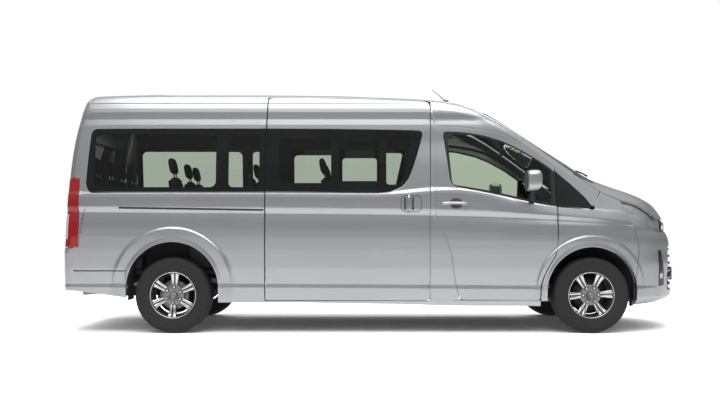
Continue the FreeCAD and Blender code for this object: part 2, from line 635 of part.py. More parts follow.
# door mirror: a housing on a foot that stands on the door's front corner
housing = fuse("housing", box("housing_box", FRONT_AXLE + " - 645", FRONT_AXLE + " - 500",
                              "-overall_width / 2 - 215", "-overall_width / 2 - 15", "1300", "1495"),
               box("foot", FRONT_AXLE + " - 610", FRONT_AXLE + " - 540", "-overall_width / 2 - 60",
                   "-overall_width / 2 + 60", "1240", "1300"))
mirror = cut("mirror_right", housing, outer)
node("mirror_right", mirror)
node("mirror_left", mirrored("mirror_left", mirror))

# tailgate, hinged at the roof's rear edge
gate_window_outline = [(-700, 1345, 60), (700, 1345, 60), (640, top - 420, 60), (-640, top - 420, 60)]
gate_window = end_prism("gate_window", gate_window_outline, tail - 100, tail + 400)
lamp_clear_side = side_prism("lamp_clear_side", grown([(tail + 160, 1434, 0), (tail + 160, 745, 0),
                                                       (behind, 745, 0), (behind, 1434, 0)], gap), -far, far)
lamp_clear = cut("lamp_clear", lamp_clear_side,
                 box("lamp_clear_middle", LENGTH + " / -2 - 300", LENGTH + " / -2 + 400",
                     "175 + shut_gap - overall_width / 2", "overall_width / 2 - 175 - shut_gap", "700",
                     "1500"))
plate_holes = [rod("plate_hole" + y, "plate_hole_radius", "200", LENGTH + " / -2 - 50", y + "105", "880", "x")
               for y in "+-"]
# the upper edge slopes back under its outer corner, so that it swings clear of the roof
gate_relief = side_prism("gate_relief", [(gate_hinge_x + u, gate_hinge_z + v, 0) for u, v in [
    (-65, 51), (-70, 43), (-74, 36), (-78.5, 26), (-82.5, 8), (-82.5, -12), (-78.5, -28), (-73, -42),
    (-60, -55), (-30, -55), (-30, 90), (-65, 90)]], -760, 760)
gate_panel = cut("gate_panel", common("gate_shell", shell, gate_space), lamp_clear, gate_window, gate_relief,
                 *plate_holes)


def gate_arm(count, y):
    """The tailgate's half of a roof hinge."""
    points = [Vector(gate_hinge_x - u, y - 25, gate_hinge_z + v) for u, v in neck(62, dim.gate_hinge_depth)]
    arm = Part.Face(Part.makePolygon(points + points[:1])).extrude(Vector(0, 50, 0))
    barrel = Part.makeCylinder(dim.barrel_radius, 50, Vector(gate_hinge_x, y - 25, gate_hinge_z),
                               Vector(0, 1, 0))
    bore = Part.makeCylinder(dim.hinge_pin_radius + dim.pin_clearance, 50,
                             Vector(gate_hinge_x, y - 25, gate_hinge_z), Vector(0, 1, 0))
    return feature("gate_arm%d" % count, arm.fuse(barrel).cut(bore))


gate_arms = [gate_arm(count, y) for count, y in enumerate(GATE_HINGES, start=1)]
node("tailgate", fuse("tailgate", gate_panel, *gate_arms))
node("tailgate_glass", common("tailgate_glass", common("gate_glass", flush_glass, gate_window), gate_space))

# bonnet, hinged under the cowl
bonnet_arms = []
for count, y in enumerate(BONNET_HINGES, start=1):
    profile = [(-6, 0), (-6, -55), (120, -90), (120, -40), (88, -24), (88, -50), (6, -40), (6, 0)]
    points = [Vector(bonnet_hinge_x + u, y - 25, bonnet_hinge_z + v) for u, v in profile]
    plate = Part.Face(Part.makePolygon(points + points[:1])).extrude(Vector(0, 50, 0))
    start = Vector(bonnet_hinge_x, y - 25, bonnet_hinge_z)
    barrel = Part.makeCylinder(dim.barrel_radius, 50, start, Vector(0, 1, 0))
    bore = Part.makeCylinder(dim.hinge_pin_radius + dim.pin_clearance, 50, start, Vector(0, 1, 0))
    bonnet_arms.append(feature("bonnet_arm%d" % count, plate.fuse(barrel).cut(bore)))
node("bonnet", fuse("bonnet", common("bonnet_skin", skin, bonnet_zone), *bonnet_arms))

# ---------------------------------------------------------------- floor, frame and drive line

X0, X1 = LENGTH + " / -2", LENGTH + " / 2"
front_house = {side: arch_prism("front_house_" + side, front_axle, dim.front_arch_radius, dim.front_arch_rise,
                                y0, y1, dim.liner_thickness)
               for side, y0, y1 in (("right", -far, -dim.front_liner_inset),
                                    ("left", dim.front_liner_inset, far))}
rear_house = {side: arch_prism("rear_house_" + side, rear_axle, dim.rear_arch_radius, dim.rear_arch_rise,
                               y0, y1, dim.liner_thickness)
              for side, y0, y1 in (("right", -far, -dim.rear_liner_inset),
                                   ("left", dim.rear_liner_inset, far))}
floor_top = dim.floor_height + dim.floor_thickness
bulkhead_x = front_axle - 207
floor_profile = [
    (tail + 100, dim.floor_height, 0), (bulkhead_x + 20, dim.floor_height, 0), (bulkhead_x + 20, 1130, 0),
    (glass_foot - 30, 1350, 0), (glass_foot - 30, 1372, 0), (bulkhead_x, 1152, 0), (bulkhead_x, floor_top, 0),
    (tail + 100, floor_top, 0),
]
floor_slab = side_prism("floor_slab", floor_profile, -far, far)
door_clear = side_prism("door_clear", [(door_back - 20, 0, 0), (bulkhead_x + 30, 0, 0),
                                       (bulkhead_x + 30, 1200, 0),
                                       (door_back - 20, 1200, 0)], -far, far)
door_strip = cut("door_strip", door_clear, box("door_strip_middle", X0, X1,
                                               "wall_thickness + 12 - overall_width / 2",
                                               "overall_width / 2 - wall_thickness - 12", "-10", "1300"))
shelf_sides = cut("shelf_sides", side_prism("shelf_side", [(bulkhead_x - 10, 1131, 0), (nose, 1131, 0),
                                                           (nose, 1500, 0),
                                                           (bulkhead_x - 10, 1500, 0)], -far, far),
                  box("shelf_middle", X0, X1, "-700", "700", "1100", "1600"))
node("floor", cut("floor", common("floor_in_body", floor_slab, core), front_house["right"],
                  front_house["left"],
                  rear_house["right"], rear_house["left"], door_strip, shelf_sides))


liners = []
for side in ("right", "left"):
    inward = -1 if side == "right" else 1
    for axle, house, radius, rise, inset in (
            ("front", front_house[side], dim.front_arch_radius, dim.front_arch_rise, dim.front_liner_inset),
            ("rear", rear_house[side], dim.rear_arch_radius, dim.rear_arch_rise, dim.rear_liner_inset)):
        x = front_axle if axle == "front" else rear_axle
        name = "%s_liner_%s" % (axle, side)
        start = inward * (inset + dim.liner_thickness)
        hollow = arch_prism(name + "_hollow", x, radius, rise, min(start, inward * far),
                            max(start, inward * far))
        open_low = arch_prism(name + "_open", x, radius, rise, min(inward * (inset - 5), start),
                              max(inward * (inset - 5), start))
        below = box(name + "_below", X0, X1, "-overall_width", "overall_width", "0", "floor_height + 40")
        above = box(name + "_above", X0, X1, "-overall_width", "overall_width", "sill_height + 40", "1500")
        inside = skin_core if axle == "front" else core
        walls = cut(name + "_walls", house, hollow, common(name + "_window", open_low, below))
        liners.append(common(name, common(name + "_in_body", walls, above), inside))
node("arch_liners", group("arch_liners", *liners))

rails = []
for name, y0, y1 in (("right", "-rail_offset - rail_width / 2", "-rail_offset + rail_width / 2"),
                     ("left", "rail_offset - rail_width / 2", "rail_offset + rail_width / 2")):
    rails.append(box("rail_" + name, X0 + " + 100", X1, y0, y1, "floor_height - rail_depth", "floor_height"))
# cross-members by their x from the front axle
CROSS_MEMBERS = [-560, -1500, -2700, -3420]
for count, x in enumerate(CROSS_MEMBERS, start=1):
    rails.append(box("cross_member%d" % count, FRONT_AXLE + " + %d" % x, FRONT_AXLE + " + %d" % (x + 60),
                     "-rail_offset", "rail_offset", "floor_height - 70", "floor_height"))
rails.append(box("front_beam", FRONT_AXLE + " + 760", FRONT_AXLE + " + 800", "-rail_offset", "rail_offset",
                 "floor_height - rail_depth", "floor_height"))
rails.append(box("rear_beam", X0 + " + 80", X0 + " + 110", "-520", "520", "floor_height - 130",
                 "floor_height"))
# spring hangers: an arm from each rail out to the spring's ends
for side, y0, y1 in (("right", "-spring_offset - spring_width / 2", "-rail_offset"),
                     ("left", "rail_offset", "spring_offset + spring_width / 2")):
    for end, x in (("front", " + 600"), ("rear", " - 660")):
        rails.append(box("hanger_%s_%s" % (side, end), REAR_AXLE + x, REAR_AXLE + x + " + 60", y0, y1,
                         "tyre_radius + 120", "floor_height"))
# engine mounts: a bracket from each rail to the block's side
for side, y0, y1 in (("right", "-rail_offset", "-270"), ("left", "270", "rail_offset")):
    rails.append(box("engine_mount_" + side, FRONT_AXLE + " + 200", FRONT_AXLE + " + 270", y0, y1, "450",
                     "510"))
rails.append(box("tow_plate", X0 + " + 80", X0 + " + 175", "-100", "100", "floor_height - 130",
                 "floor_height - 118"))
# jacking pads under the rails
for side, y0, y1 in (("right", "-rail_offset - rail_width / 2", "-rail_offset + rail_width / 2"),
                     ("left", "rail_offset - rail_width / 2", "rail_offset + rail_width / 2")):
    rails.append(box("jack_pad_" + side, FRONT_AXLE + " - 900 - jack_pad_length / 2",
                     FRONT_AXLE + " - 900 + jack_pad_length / 2", y0, y1,
                     "floor_height - rail_depth - 6", "floor_height - rail_depth"))
frame = fuse("frame", *rails)
tow_holes = [rod("tow_hole_%s_%s" % (x, y), "tow_hole_radius", "60", X0 + " + 127.5 %s tow_spacing / 2" % x,
                 "%s70" % y, "floor_height - 160") for x in "+-" for y in "+-"]
node("chassis_frame", cut("chassis_frame", common("frame_in_body", frame, core), *tow_holes))

node("engine", fuse("engine", box("engine_block", FRONT_AXLE + " - 130", FRONT_AXLE + " + 560", "-270", "270",
                                  "380", "960"),
                    box("gearbox", FRONT_AXLE + " - 480", FRONT_AXLE + " - 130", "-130", "130",
                        "tyre_radius - 60", "tyre_radius + 90")))
shaft_start = Vector(front_axle - 480, 0, dim.tyre_radius)
shaft_end = Vector(rear_axle + 145, 0, dim.tyre_radius)
shaft_run = shaft_end - shaft_start
node("prop_shaft", feature("prop_shaft", Part.makeCylinder(dim.shaft_radius, shaft_run.Length, shaft_start,
                                                           shaft_run)))

axle = fuse("axle", rod("axle_tube", "axle_tube_radius", "track - 160", REAR_AXLE, "80 - track / 2",
                        "tyre_radius", "y"),
            make("Part::Sphere", "differential", Radius="130", x=REAR_AXLE, y="0", z="tyre_radius"),
            rod("pinion", "55", "145", REAR_AXLE, "0", "tyre_radius", "x"),
            rod("backing_right", "125", "12", REAR_AXLE, "80 - track / 2", "tyre_radius", "y"),
            rod("backing_left", "125", "12", REAR_AXLE, "track / 2 - 92", "tyre_radius", "y"),
            rod("rear_stubs", "hub_bore_radius - stub_clearance", "track + 2 * stub_reach", REAR_AXLE,
                "-stub_reach - track / 2",
                "tyre_radius", "y"),
            box("pad_right", REAR_AXLE + " - 60", REAR_AXLE + " + 60", "-spring_offset - 35",
                "-spring_offset + 35",
                "tyre_radius", "tyre_radius + 60"),
            box("pad_left", REAR_AXLE + " - 60", REAR_AXLE + " + 60", "spring_offset - 35",
                "spring_offset + 35",
                "tyre_radius", "tyre_radius + 60"))
node("rear_axle", axle)


def leaf_spring(name, y):
    """A leaf spring: a shallow arc whose ends rise to the hangers."""
    low, high = dim.tyre_radius + 60, dim.tyre_radius + 96
    leaf = dim.spring_leaf
    y0 = y - dim.spring_width / 2
    ends = [Vector(rear_axle - 640, y0, high), Vector(rear_axle, y0, low), Vector(rear_axle + 640, y0, high)]
    rise = Vector(0, 0, leaf)
    seat = [Vector(rear_axle - 60, y0, low), Vector(rear_axle + 60, y0, low)]
    points = [ends[0], seat[0], seat[1], ends[2], ends[2] + rise, seat[1] + rise, seat[0] + rise,
              ends[0] + rise]
    return feature(name, Part.Face(Part.makePolygon(points + points[:1])).extrude(Vector(0, dim.spring_width,
                                                                                         0)))


node("leaf_springs", group("leaf_springs", leaf_spring("leaf_right", -dim.spring_offset),
                           leaf_spring("leaf_left", dim.spring_offset)))
node("fuel_tank", box("fuel_tank", FRONT_AXLE + " - 2400", FRONT_AXLE + " - 1500",
                      "rail_offset + rail_width / 2 + 20",
                      "overall_width / 2 - wall_thickness - 60", "310", "floor_height"))

# exhaust: straight runs joined by tangent arcs, and a silencer. x from the axle named, y, z
EXHAUST = [("front", -130, -200, 400), ("front", -640, -200, 400), ("front", -860, -640, 400),
           ("front", -2900, -640, 400), ("rear", 330, -640, 482), ("rear", -330, -640, 482),
           ("rear", -620, -640, 380), ("tail", 130, -640, 360)]


def pipe(name, route, radius, bend):
    """A round pipe along a route, each corner an arc of one bend radius."""
    edges, here = [], route[0]
    for corner, after in zip(route[1:], route[2:]):
        back, ahead = (here - corner).normalize(), (after - corner).normalize()
        half_turn = back.getAngle(ahead) / 2
        run = bend / math.tan(half_turn)
        begin, finish = corner + back * run, corner + ahead * run
        middle = corner + (back + ahead).normalize() * (bend / math.sin(half_turn) - bend)
        edges += [Part.makeLine(here, begin), Part.Arc(begin, middle, finish).toShape()]
        here = finish
    edges.append(Part.makeLine(here, route[-1]))
    path = Part.Wire(edges)
    ring = Part.Wire(Part.makeCircle(radius, route[0], route[1] - route[0]))
    return feature(name, path.makePipeShell([ring], True, False))


route = [Vector(ANCHOR[start] + x, y, z) for start, x, y, z in EXHAUST]
tail_pipe = pipe("tail_pipe", route, 26, 90)
silencer = rod("silencer", "85", "620", FRONT_AXLE + " - 2300", "-640", "400", "x")
node("exhaust", fuse("exhaust", tail_pipe, silencer))

# ---------------------------------------------------------------- front suspension and knuckles

kingpin_y = dim.track / 2 - dim.kingpin_offset
rail_out = dim.rail_offset + dim.rail_width / 2


def arm(name, y_sign, z, root, thick):
    """A suspension arm: wide at the frame rail, narrow at the ball joint, with the joint's eye."""
    y_root, y_tip = y_sign * rail_out, y_sign * kingpin_y
    points = [Vector(front_axle - root, y_root, z), Vector(front_axle - 26, y_tip, z),
              Vector(front_axle + 26, y_tip, z), Vector(front_axle + root, y_root, z),
              Vector(front_axle + root - 70, y_root, z), Vector(front_axle, y_root + y_sign * 90, z),
              Vector(front_axle - root + 70, y_root, z)]
    plate = Part.Face(Part.makePolygon(points + points[:1])).extrude(Vector(0, 0, thick))
    eye = Part.makeCylinder(28, thick, Vector(front_axle, y_tip, z))
    hole = Part.makeCylinder(dim.pin_radius + dim.pin_clearance, thick, Vector(front_axle, y_tip, z))
    return feature(name, plate.fuse(eye).cut(hole))


def knuckle(name, y_sign):
    """The steered upright: post, pins, stub axle and brake caliper."""
    lower_top = dim.lower_arm_height + dim.arm_thickness
    y = y_sign * kingpin_y
    post = Part.makeCylinder(dim.post_radius, dim.upper_arm_height - lower_top - 2 * dim.pin_clearance,
                             Vector(front_axle, y, lower_top + dim.pin_clearance))
    pins = Part.makeCylinder(dim.pin_radius, dim.upper_arm_height + dim.arm_thickness - dim.lower_arm_height,
                             Vector(front_axle, y, dim.lower_arm_height))
    stub_radius = dim.hub_bore_radius - dim.stub_clearance
    stub = Part.makeCylinder(stub_radius, dim.kingpin_offset + dim.stub_reach,
                             Vector(front_axle, y, dim.tyre_radius),
                             Vector(0, y_sign, 0))
    boss = Part.makeCylinder(44, 40, Vector(front_axle, y, dim.tyre_radius), Vector(0, y_sign, 0))
    near, out = y + y_sign * 30, y + y_sign * 90
    caliper = Part.makeBox(56, 60, 120, Vector(front_axle - 160, min(near, out), dim.tyre_radius - 60))
    bracket = Part.makeBox(130, 16, 60, Vector(front_axle - 140, min(near, near + y_sign * 16),
                                               dim.tyre_radius - 30))
    slot_y = (y + y_sign * 52, y + y_sign * 76)
    slot = Part.makeBox(60, 24, 140, Vector(front_axle - 150, min(slot_y), dim.tyre_radius - 70))
    return feature(name, post.fuse([pins, stub, boss, bracket, caliper.cut(slot)]).removeSplitter())


arms, knuckles = [], {}
for side, y_sign in (("right", -1), ("left", 1)):
    arms.append(arm("lower_arm_" + side, y_sign, dim.lower_arm_height, 170, dim.arm_thickness))
    arms.append(arm("upper_arm_" + side, y_sign, dim.upper_arm_height, 130, dim.arm_thickness))
    node("knuckle_" + side, knuckle("knuckle_" + side, y_sign))
# the cross-member that carries the lower arms' roots
subframe = fuse("subframe_parts",
                box("subframe_front", FRONT_AXLE + " + 105", FRONT_AXLE + " + 165",
                    "-rail_offset - rail_width / 2",
                    "rail_offset + rail_width / 2", "lower_arm_height", "lower_arm_height + arm_thickness"),
                box("subframe_rear", FRONT_AXLE + " - 165", FRONT_AXLE + " - 105",
                    "-rail_offset - rail_width / 2",
                    "rail_offset + rail_width / 2", "lower_arm_height", "lower_arm_height + arm_thickness"),
                *[box("tower_%s_%s" % (side, end), FRONT_AXLE + x, FRONT_AXLE + x + " + 60", y0, y1,
                      "lower_arm_height",
                      "floor_height - rail_depth")
                  for side, y0, y1 in (("right", "-rail_offset - rail_width / 2",
                                        "-rail_offset + rail_width / 2"),
                                       ("left", "rail_offset - rail_width / 2",
                                        "rail_offset + rail_width / 2"))
                  for end, x in (("front", " + 105"), ("rear", " - 165"))])
node("front_subframe", subframe)
node("front_arms", group("front_arms", *arms))

# ---------------------------------------------------------------- wheels


def lathe(name, profile, x, y_sign):
    """A (radius, y) profile turned about a wheel's axis, y outwards from the wheel's middle."""
    y = y_sign * dim.track / 2
    points = [Vector(x + r, y + y_sign * b, dim.tyre_radius) for r, b in profile]
    face = Part.Face(Part.makePolygon(points + points[:1]))
    return face.revolve(Vector(x, 0, dim.tyre_radius), Vector(0, 1, 0), 360)


def tyre(name, x, y_sign):
    """A tyre's outer shape: tread, rounded shoulders, bulging walls and beads."""
    r, w = dim.tyre_radius, dim.tyre_width / 2
    bead = dim.rim_radius + dim.bead_clearance
    profile = [(bead, -86), (bead, 86), (bead + 22, 90), (r - 60, w), (r - 26, w - 6), (r - 7, w - 22),
               (r, w - 45),
               (r, 45 - w), (r - 7, 22 - w), (r - 26, 6 - w), (r - 60, -w), (bead + 22, -90)]
    return feature(name, lathe(name, profile, x, y_sign))


def rim(name, x, y_sign):
    """A six-spoke rim: barrel with two flanges, hub and spokes."""
    r, w = dim.rim_radius, dim.rim_width / 2
    barrel = lathe(name, [(r - 14, -w), (r + 13, -w), (r + 13, -w + 4), (r, -w + 7), (r, w - 7),
                          (r + 13, w - 4),
                          (r + 13, w), (r - 14, w)], x, y_sign)
    hub = lathe(name, [(dim.hub_bore_radius, 30), (88, 30), (88, 62), (60, 80), (dim.hub_bore_radius, 80)], x,
                y_sign)
    spokes = []
    y = y_sign * dim.track / 2
    y0 = min(y + y_sign * 50, y + y_sign * 84)
    for count in range(6):
        spoke = Part.makeBox(r - 66, 34, 56, Vector(x + 60, y0, dim.tyre_radius - 28))
        spoke.rotate(Vector(x, 0, dim.tyre_radius), Vector(0, 1, 0), 60 * count)
        spokes.append(spoke)
    return feature(name, barrel.fuse([hub] + spokes).cut(
        Part.makeCylinder(dim.hub_bore_radius, 200, Vector(x, y - 100, dim.tyre_radius), Vector(0, 1, 0))))


for end, x in (("front", front_axle), ("rear", rear_axle)):
    for side, y_sign in (("right", -1), ("left", 1)):
        node("tyre_%s_%s" % (end, side), tyre("tyre_%s_%s" % (end, side), x, y_sign))
        node("rim_%s_%s" % (end, side), rim("rim_%s_%s" % (end, side), x, y_sign))

# spare wheel, slung flat under the floor on a hanger
spare_x, spare_z = tail + 520, 395
spare_r = dim.tyre_radius - 12
spare_ring = [(0, -60), (180, -60), (205, -100), (spare_r, -90), (spare_r, 90), (205, 100), (180, 60),
              (0, 60)]
spare_points = [Vector(spare_x + r, 0, spare_z + b) for r, b in spare_ring]
spare = Part.Face(Part.makePolygon(spare_points + spare_points[:1])).revolve(Vector(spare_x, 0, 0),
                                                                             Vector(0, 0, 1), 360)
hanger = Part.makeCylinder(25, dim.floor_height - spare_z - 40, Vector(spare_x, 0, spare_z + 40))
node("spare_wheel", feature("spare_wheel", spare.fuse(hanger)))

# ---------------------------------------------------------------- cabin

dash_profile = [(bulkhead_x - 330, 820, 30), (bulkhead_x, 820, 0), (bulkhead_x, 1150, 0),
                (bulkhead_x - 120, 1170, 60),
                (bulkhead_x - 350, 1090, 60)]
dashboard = side_prism("dashboard", dash_profile, -(half - wall - 60), half - wall - 60)
node("dashboard", dashboard)
wheel_centre = Vector(front_axle - 760, 420, 1090)
wheel_axis = Vector(-math.cos(math.radians(28)), 0, math.sin(math.radians(28)))
ring = Part.makeTorus(185, 15, wheel_centre, wheel_axis)
boss = Part.makeCylinder(45, 40, wheel_centre - wheel_axis * 30, wheel_axis)
bars = [Part.makeBox(26, 370, 14, wheel_centre - Vector(13, 185, 7))]
bars[0].rotate(wheel_centre, Vector(0, 1, 0), 62)
column = Part.makeCylinder(28, 280, wheel_centre - wheel_axis * 20, wheel_axis * -1)
wheel_and_column = feature("wheel_and_column", ring.fuse([boss, column] + bars))
node("steering_wheel", cut("steering_wheel", wheel_and_column, dashboard))


def seat(name, x, y, width, height):
    """One seat as a plain closed solid: pad, leaning back, headrest and pedestal."""
    pad = Part.makeBox(dim.seat_depth, width, dim.seat_pad, Vector(x, y - width / 2, height - dim.seat_pad))
    back = Part.makeBox(dim.back_thickness, width, dim.back_height,
                        Vector(x - 40, y - width / 2, height - dim.seat_pad))
    head = Part.makeBox(dim.back_thickness - 15, dim.headrest_width, dim.headrest_height,
                        Vector(x - 30, y - dim.headrest_width / 2,
                               height - dim.seat_pad + dim.back_height - 10))
    for piece in (back, head):
        piece.rotate(Vector(x, y, height), Vector(0, 1, 0), -dim.back_lean)
    pedestal = Part.makeBox(dim.seat_depth - 120, width - 120, height - dim.seat_pad - floor_top,
                            Vector(x + 60, y - width / 2 + 60, floor_top))
    return feature(name, pad.fuse([back, head, pedestal]))


# seats from the front: x of the pad's rear edge from the front axle, and each seat's y
rows = [(front_axle - 1470, [-430, 430], dim.front_seat_width)]
first_row = front_axle - 2380
for row in range(4):
    places = [-600, 140, 600] if row < 3 else [-645, -215, 215, 645]
    width = dim.seat_width if row < 3 else dim.bench_seat_width
    rows.append((first_row - row * dim.row_pitch, places, width))
seats = []
for row, (x, places, width) in enumerate(rows):
    for place, y in enumerate(places):
        seats.append(seat("seat%d%d" % (row, place), x, y, width, dim.seat_height))
node("seats", cut("seats", group("seat_rows", *seats), rear_house["right"], rear_house["left"]))

antenna_root = Vector(front_axle - 1308, -600, top - 140)
antenna = Part.makeCone(7, 2.5, 190, antenna_root + Vector(0, 0, 60), Vector(-0.62, 0, 0.5))
node("antenna", cut("antenna", feature("antenna_rod", antenna.fuse(Part.makeCylinder(16, 110, antenna_root))),
                    outer))

# ---------------------------------------------------------------- check and write

doc.recompute()
for thing in doc.Objects:
    if "Invalid" in thing.State or "Error" in thing.State:
        raise SystemExit("%s failed: %s" % (thing.Label, thing.State))
for label, thing in nodes.items():
    if thing.Shape.isNull() or not thing.Shape.isValid() or not thing.Shape.Solids:
        raise SystemExit("%s has no valid solid" % label)
os.makedirs("parts", exist_ok=True)
for label, thing in nodes.items():
    thing.Shape.exportStep("parts/%s.step" % label)
    print("%-20s %2d solids %8.4f m3" % (label, len(thing.Shape.Solids), thing.Shape.Volume / 1e9))
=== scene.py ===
import math

import bmesh
import bpy
import numpy as np
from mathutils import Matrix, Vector


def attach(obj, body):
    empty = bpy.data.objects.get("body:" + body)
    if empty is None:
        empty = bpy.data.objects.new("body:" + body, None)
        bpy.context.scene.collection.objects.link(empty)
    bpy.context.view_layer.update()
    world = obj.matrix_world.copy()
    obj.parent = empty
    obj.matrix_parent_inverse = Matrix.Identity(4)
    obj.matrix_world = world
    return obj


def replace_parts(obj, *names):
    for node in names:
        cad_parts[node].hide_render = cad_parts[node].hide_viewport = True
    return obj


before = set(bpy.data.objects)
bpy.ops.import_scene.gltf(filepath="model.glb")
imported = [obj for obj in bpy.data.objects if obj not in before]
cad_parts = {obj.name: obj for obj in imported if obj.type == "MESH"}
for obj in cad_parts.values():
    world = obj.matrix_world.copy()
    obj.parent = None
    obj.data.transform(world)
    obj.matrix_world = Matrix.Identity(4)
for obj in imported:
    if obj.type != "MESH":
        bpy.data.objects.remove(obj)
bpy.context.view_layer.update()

SIDES = ("right", "left")
HALF = 0.975                                  # half the body's width
FRONT, REAR = 1.9475, -1.9125                 # the axles' stations
WHEEL_Z, WHEEL_Y = 0.352, 0.837               # a wheel's middle: height, and distance from the middle plane

# ---------- numbers on curves


def table(start, step, values):
    """A line read from evenly spaced values, straight between them and level past both ends."""
    last = len(values) - 1.0001

    def at(x):
        place = np.clip((np.asarray(x, float) - start) / step, 0.0, last)
        i = place.astype(np.int64)
        return values[i] + (values[i + 1] - values[i]) * (place - i)
    return at


def curve(points):
    """A smooth line through (a, b) points: cubic pieces whose slopes are the harmonic means of the two
    straight runs beside each point, so it never overshoots. It is tabulated finely."""
    a, b = np.array(points, float).T
    step = np.diff(a)
    rise = np.diff(b) / step
    slope = np.empty_like(b)
    slope[0], slope[-1] = rise[0], rise[-1]
    same = rise[:-1] * rise[1:] > 0
    safe = np.where(same, rise[:-1] * rise[1:], 1.0)
    w1, w2 = 2 * step[1:] + step[:-1], step[1:] + 2 * step[:-1]
    slope[1:-1] = np.where(same, (w1 + w2) * safe / (w1 * rise[1:] + w2 * rise[:-1] + 1e-30), 0.0)
    x = np.linspace(a[0], a[-1], 4001)
    i = np.clip(np.searchsorted(a, x, side="right") - 1, 0, len(step) - 1)
    t = (x - a[i]) / step[i]
    line = ((2 * t ** 3 - 3 * t ** 2 + 1) * b[i] + (t ** 3 - 2 * t ** 2 + t) * step[i] * slope[i]
            + (3 * t ** 2 - 2 * t ** 3) * b[i + 1] + (t ** 3 - t ** 2) * step[i] * slope[i + 1])
    return table(a[0], x[1] - x[0], line)


def creased(points, soft=0.004):
    """Straight runs through (a, b) points with each corner rounded over about twice `soft`: the line is
    averaged over a short window."""
    a, b = np.array(points, float).T
    dense = np.arange(a[0], a[-1], 0.0005)
    line = np.interp(dense, a, b)
    width = int(soft / 0.0005)
    pad = np.pad(line, width, mode="edge")
    total = np.concatenate([[0.0], np.cumsum(pad)])
    smooth = (total[2 * width + 1:] - total[:-2 * width - 1]) / (2 * width + 1)
    return table(a[0], 0.0005, smooth)


def ease(x, low, high):
    """0 below low, 1 above high, and the cubic 3t^2 - 2t^3 between."""
    t = np.clip((x - low) / (high - low), 0.0, 1.0)
    return t * t * (3 - 2 * t)


def round_max(a, b, radius):
    """The larger of two distances, with the corner between their zero lines rounded to a radius."""
    u, v = np.maximum(a + radius, 0.0), np.maximum(b + radius, 0.0)
    return np.where((u > 0) & (v > 0), np.hypot(u, v) - radius, np.maximum(a, b))


# ---------- the body's outer skin

belt = curve([(-2.96, 1.118), (-2.755, 1.114), (-1.058, 1.101), (0.455, 1.084), (0.822, 1.075), (1.629, 1.038),
              (2.353, 0.982), (2.96, 0.93)])
sill = curve([(-2.96, 0.443), (-1.4, 0.442), (0.9, 0.429), (1.6, 0.424)])
glass_base = curve([(-2.96, 1.297), (-1.066, 1.297), (-0.05, 1.292), (0.6, 1.335), (0.8, 1.325), (1.31, 1.219),
                    (1.62, 1.171), (1.97, 1.148), (2.1, 1.135), (2.96, 1.1)])
# height against inset from the half width
SIDE = creased([(0.1, 0.11), (0.22, 0.045), (0.265, 0.026), (0.3, 0.0185), (0.425, 0.0105), (0.4305, 0.0108),
                (0.4425, 0.0168), (0.6, 0.007), (0.78, 0.0022), (0.9, 0.001), (0.975, 0.0022), (1.03, 0.0058),
                (1.075, 0.0105), (1.109, 0.0155), (1.1125, 0.0172), (1.119, 0.0172), (1.1625, 0.0035),
                (1.172, 0.0025), (1.215, 0.0035), (1.255, 0.0065), (1.285, 0.0115), (1.2905, 0.013),
                (1.2975, 0.0225), (1.302, 0.024), (1.893, 0.088), (1.93, 0.0925), (1.984, 0.1035),
                (1.99, 0.104), (2.02, 0.102), (2.05, 0.1035), (2.085, 0.1095), (2.125, 0.1195),
                (2.1285, 0.125), (2.1335, 0.125), (2.137, 0.1215), (2.2, 0.15), (2.4, 0.26)], 0.0025)
low_taper = curve([(-2.96, 0.03), (-2.7, 0.012), (-2.3, 0.003), (-1.8, 0.0), (1.5, 0.0), (1.9, 0.006),
                   (2.2, 0.022), (2.45, 0.055), (2.7, 0.115), (2.96, 0.22)])
upper_lean = curve([(-2.96, 0.03), (-2.6, 0.012), (-2.2, 0.0), (0.3, 0.0), (0.87, 0.015), (1.19, 0.055),
                    (1.5, 0.115), (1.816, 0.2), (2.1, 0.33), (2.25, 0.42), (2.6, 0.6)])
roof_middle = curve([(-2.96, 2.245), (-2.6, 2.262), (-1.6, 2.278), (-0.8, 2.279), (-0.2, 2.272), (0.3, 2.25),
                     (0.62, 2.222), (0.85, 2.185), (1.03, 2.125), (1.3, 1.962), (1.75, 1.683), (2.12, 1.452),
                     (2.2, 1.42), (2.3, 1.385), (2.42, 1.35), (2.6, 1.29), (2.74, 1.22), (2.83, 1.15),
                     (2.9, 1.06)])
roof_edge = curve([(-2.96, 2.17), (-2.725, 2.205), (-2.4, 2.219), (-1.996, 2.227), (-1.223, 2.228),
                   (-0.479, 2.222),
                   (-0.021, 2.207), (0.459, 2.184), (0.699, 2.153), (0.865, 2.103), (1.028, 2.024),
                   (1.189, 1.934),
                   (1.298, 1.862), (1.46, 1.747), (1.622, 1.632), (1.817, 1.502), (1.947, 1.418), (2.074, 1.362),
                   (2.178, 1.331), (2.326, 1.281), (2.47, 1.215), (2.564, 1.146), (2.61, 1.095), (2.75, 0.95)])
edge_y = curve([(-2.96, 0.755), (0.4, 0.755), (0.9, 0.735), (1.4, 0.745), (1.9, 0.77), (2.3, 0.755), (2.96, 0.7)])
edge_round = curve([(-2.96, 0.05), (-2.6, 0.075), (0.5, 0.08), (1.0, 0.055), (1.5, 0.045), (1.9, 0.05),
                    (2.2, 0.085), (2.96, 0.11)])
tail_x = curve([(0.2, -2.88), (0.33, -2.925), (0.39, -2.95), (0.74, -2.953), (0.8, -2.945), (1.4, -2.915),
                (1.69, -2.888), (1.9, -2.85), (2.08, -2.803), (2.2, -2.758), (2.3, -2.69)])
nose_x = curve([(0.15, 2.6), (0.257, 2.8), (0.296, 2.902), (0.33, 2.94), (0.62, 2.94), (0.752, 2.928),
                (0.848, 2.92), (0.905, 2.9), (0.96, 2.872), (1.02, 2.868), (1.08, 2.85), (1.15, 2.83),
                (1.5, 2.8)])
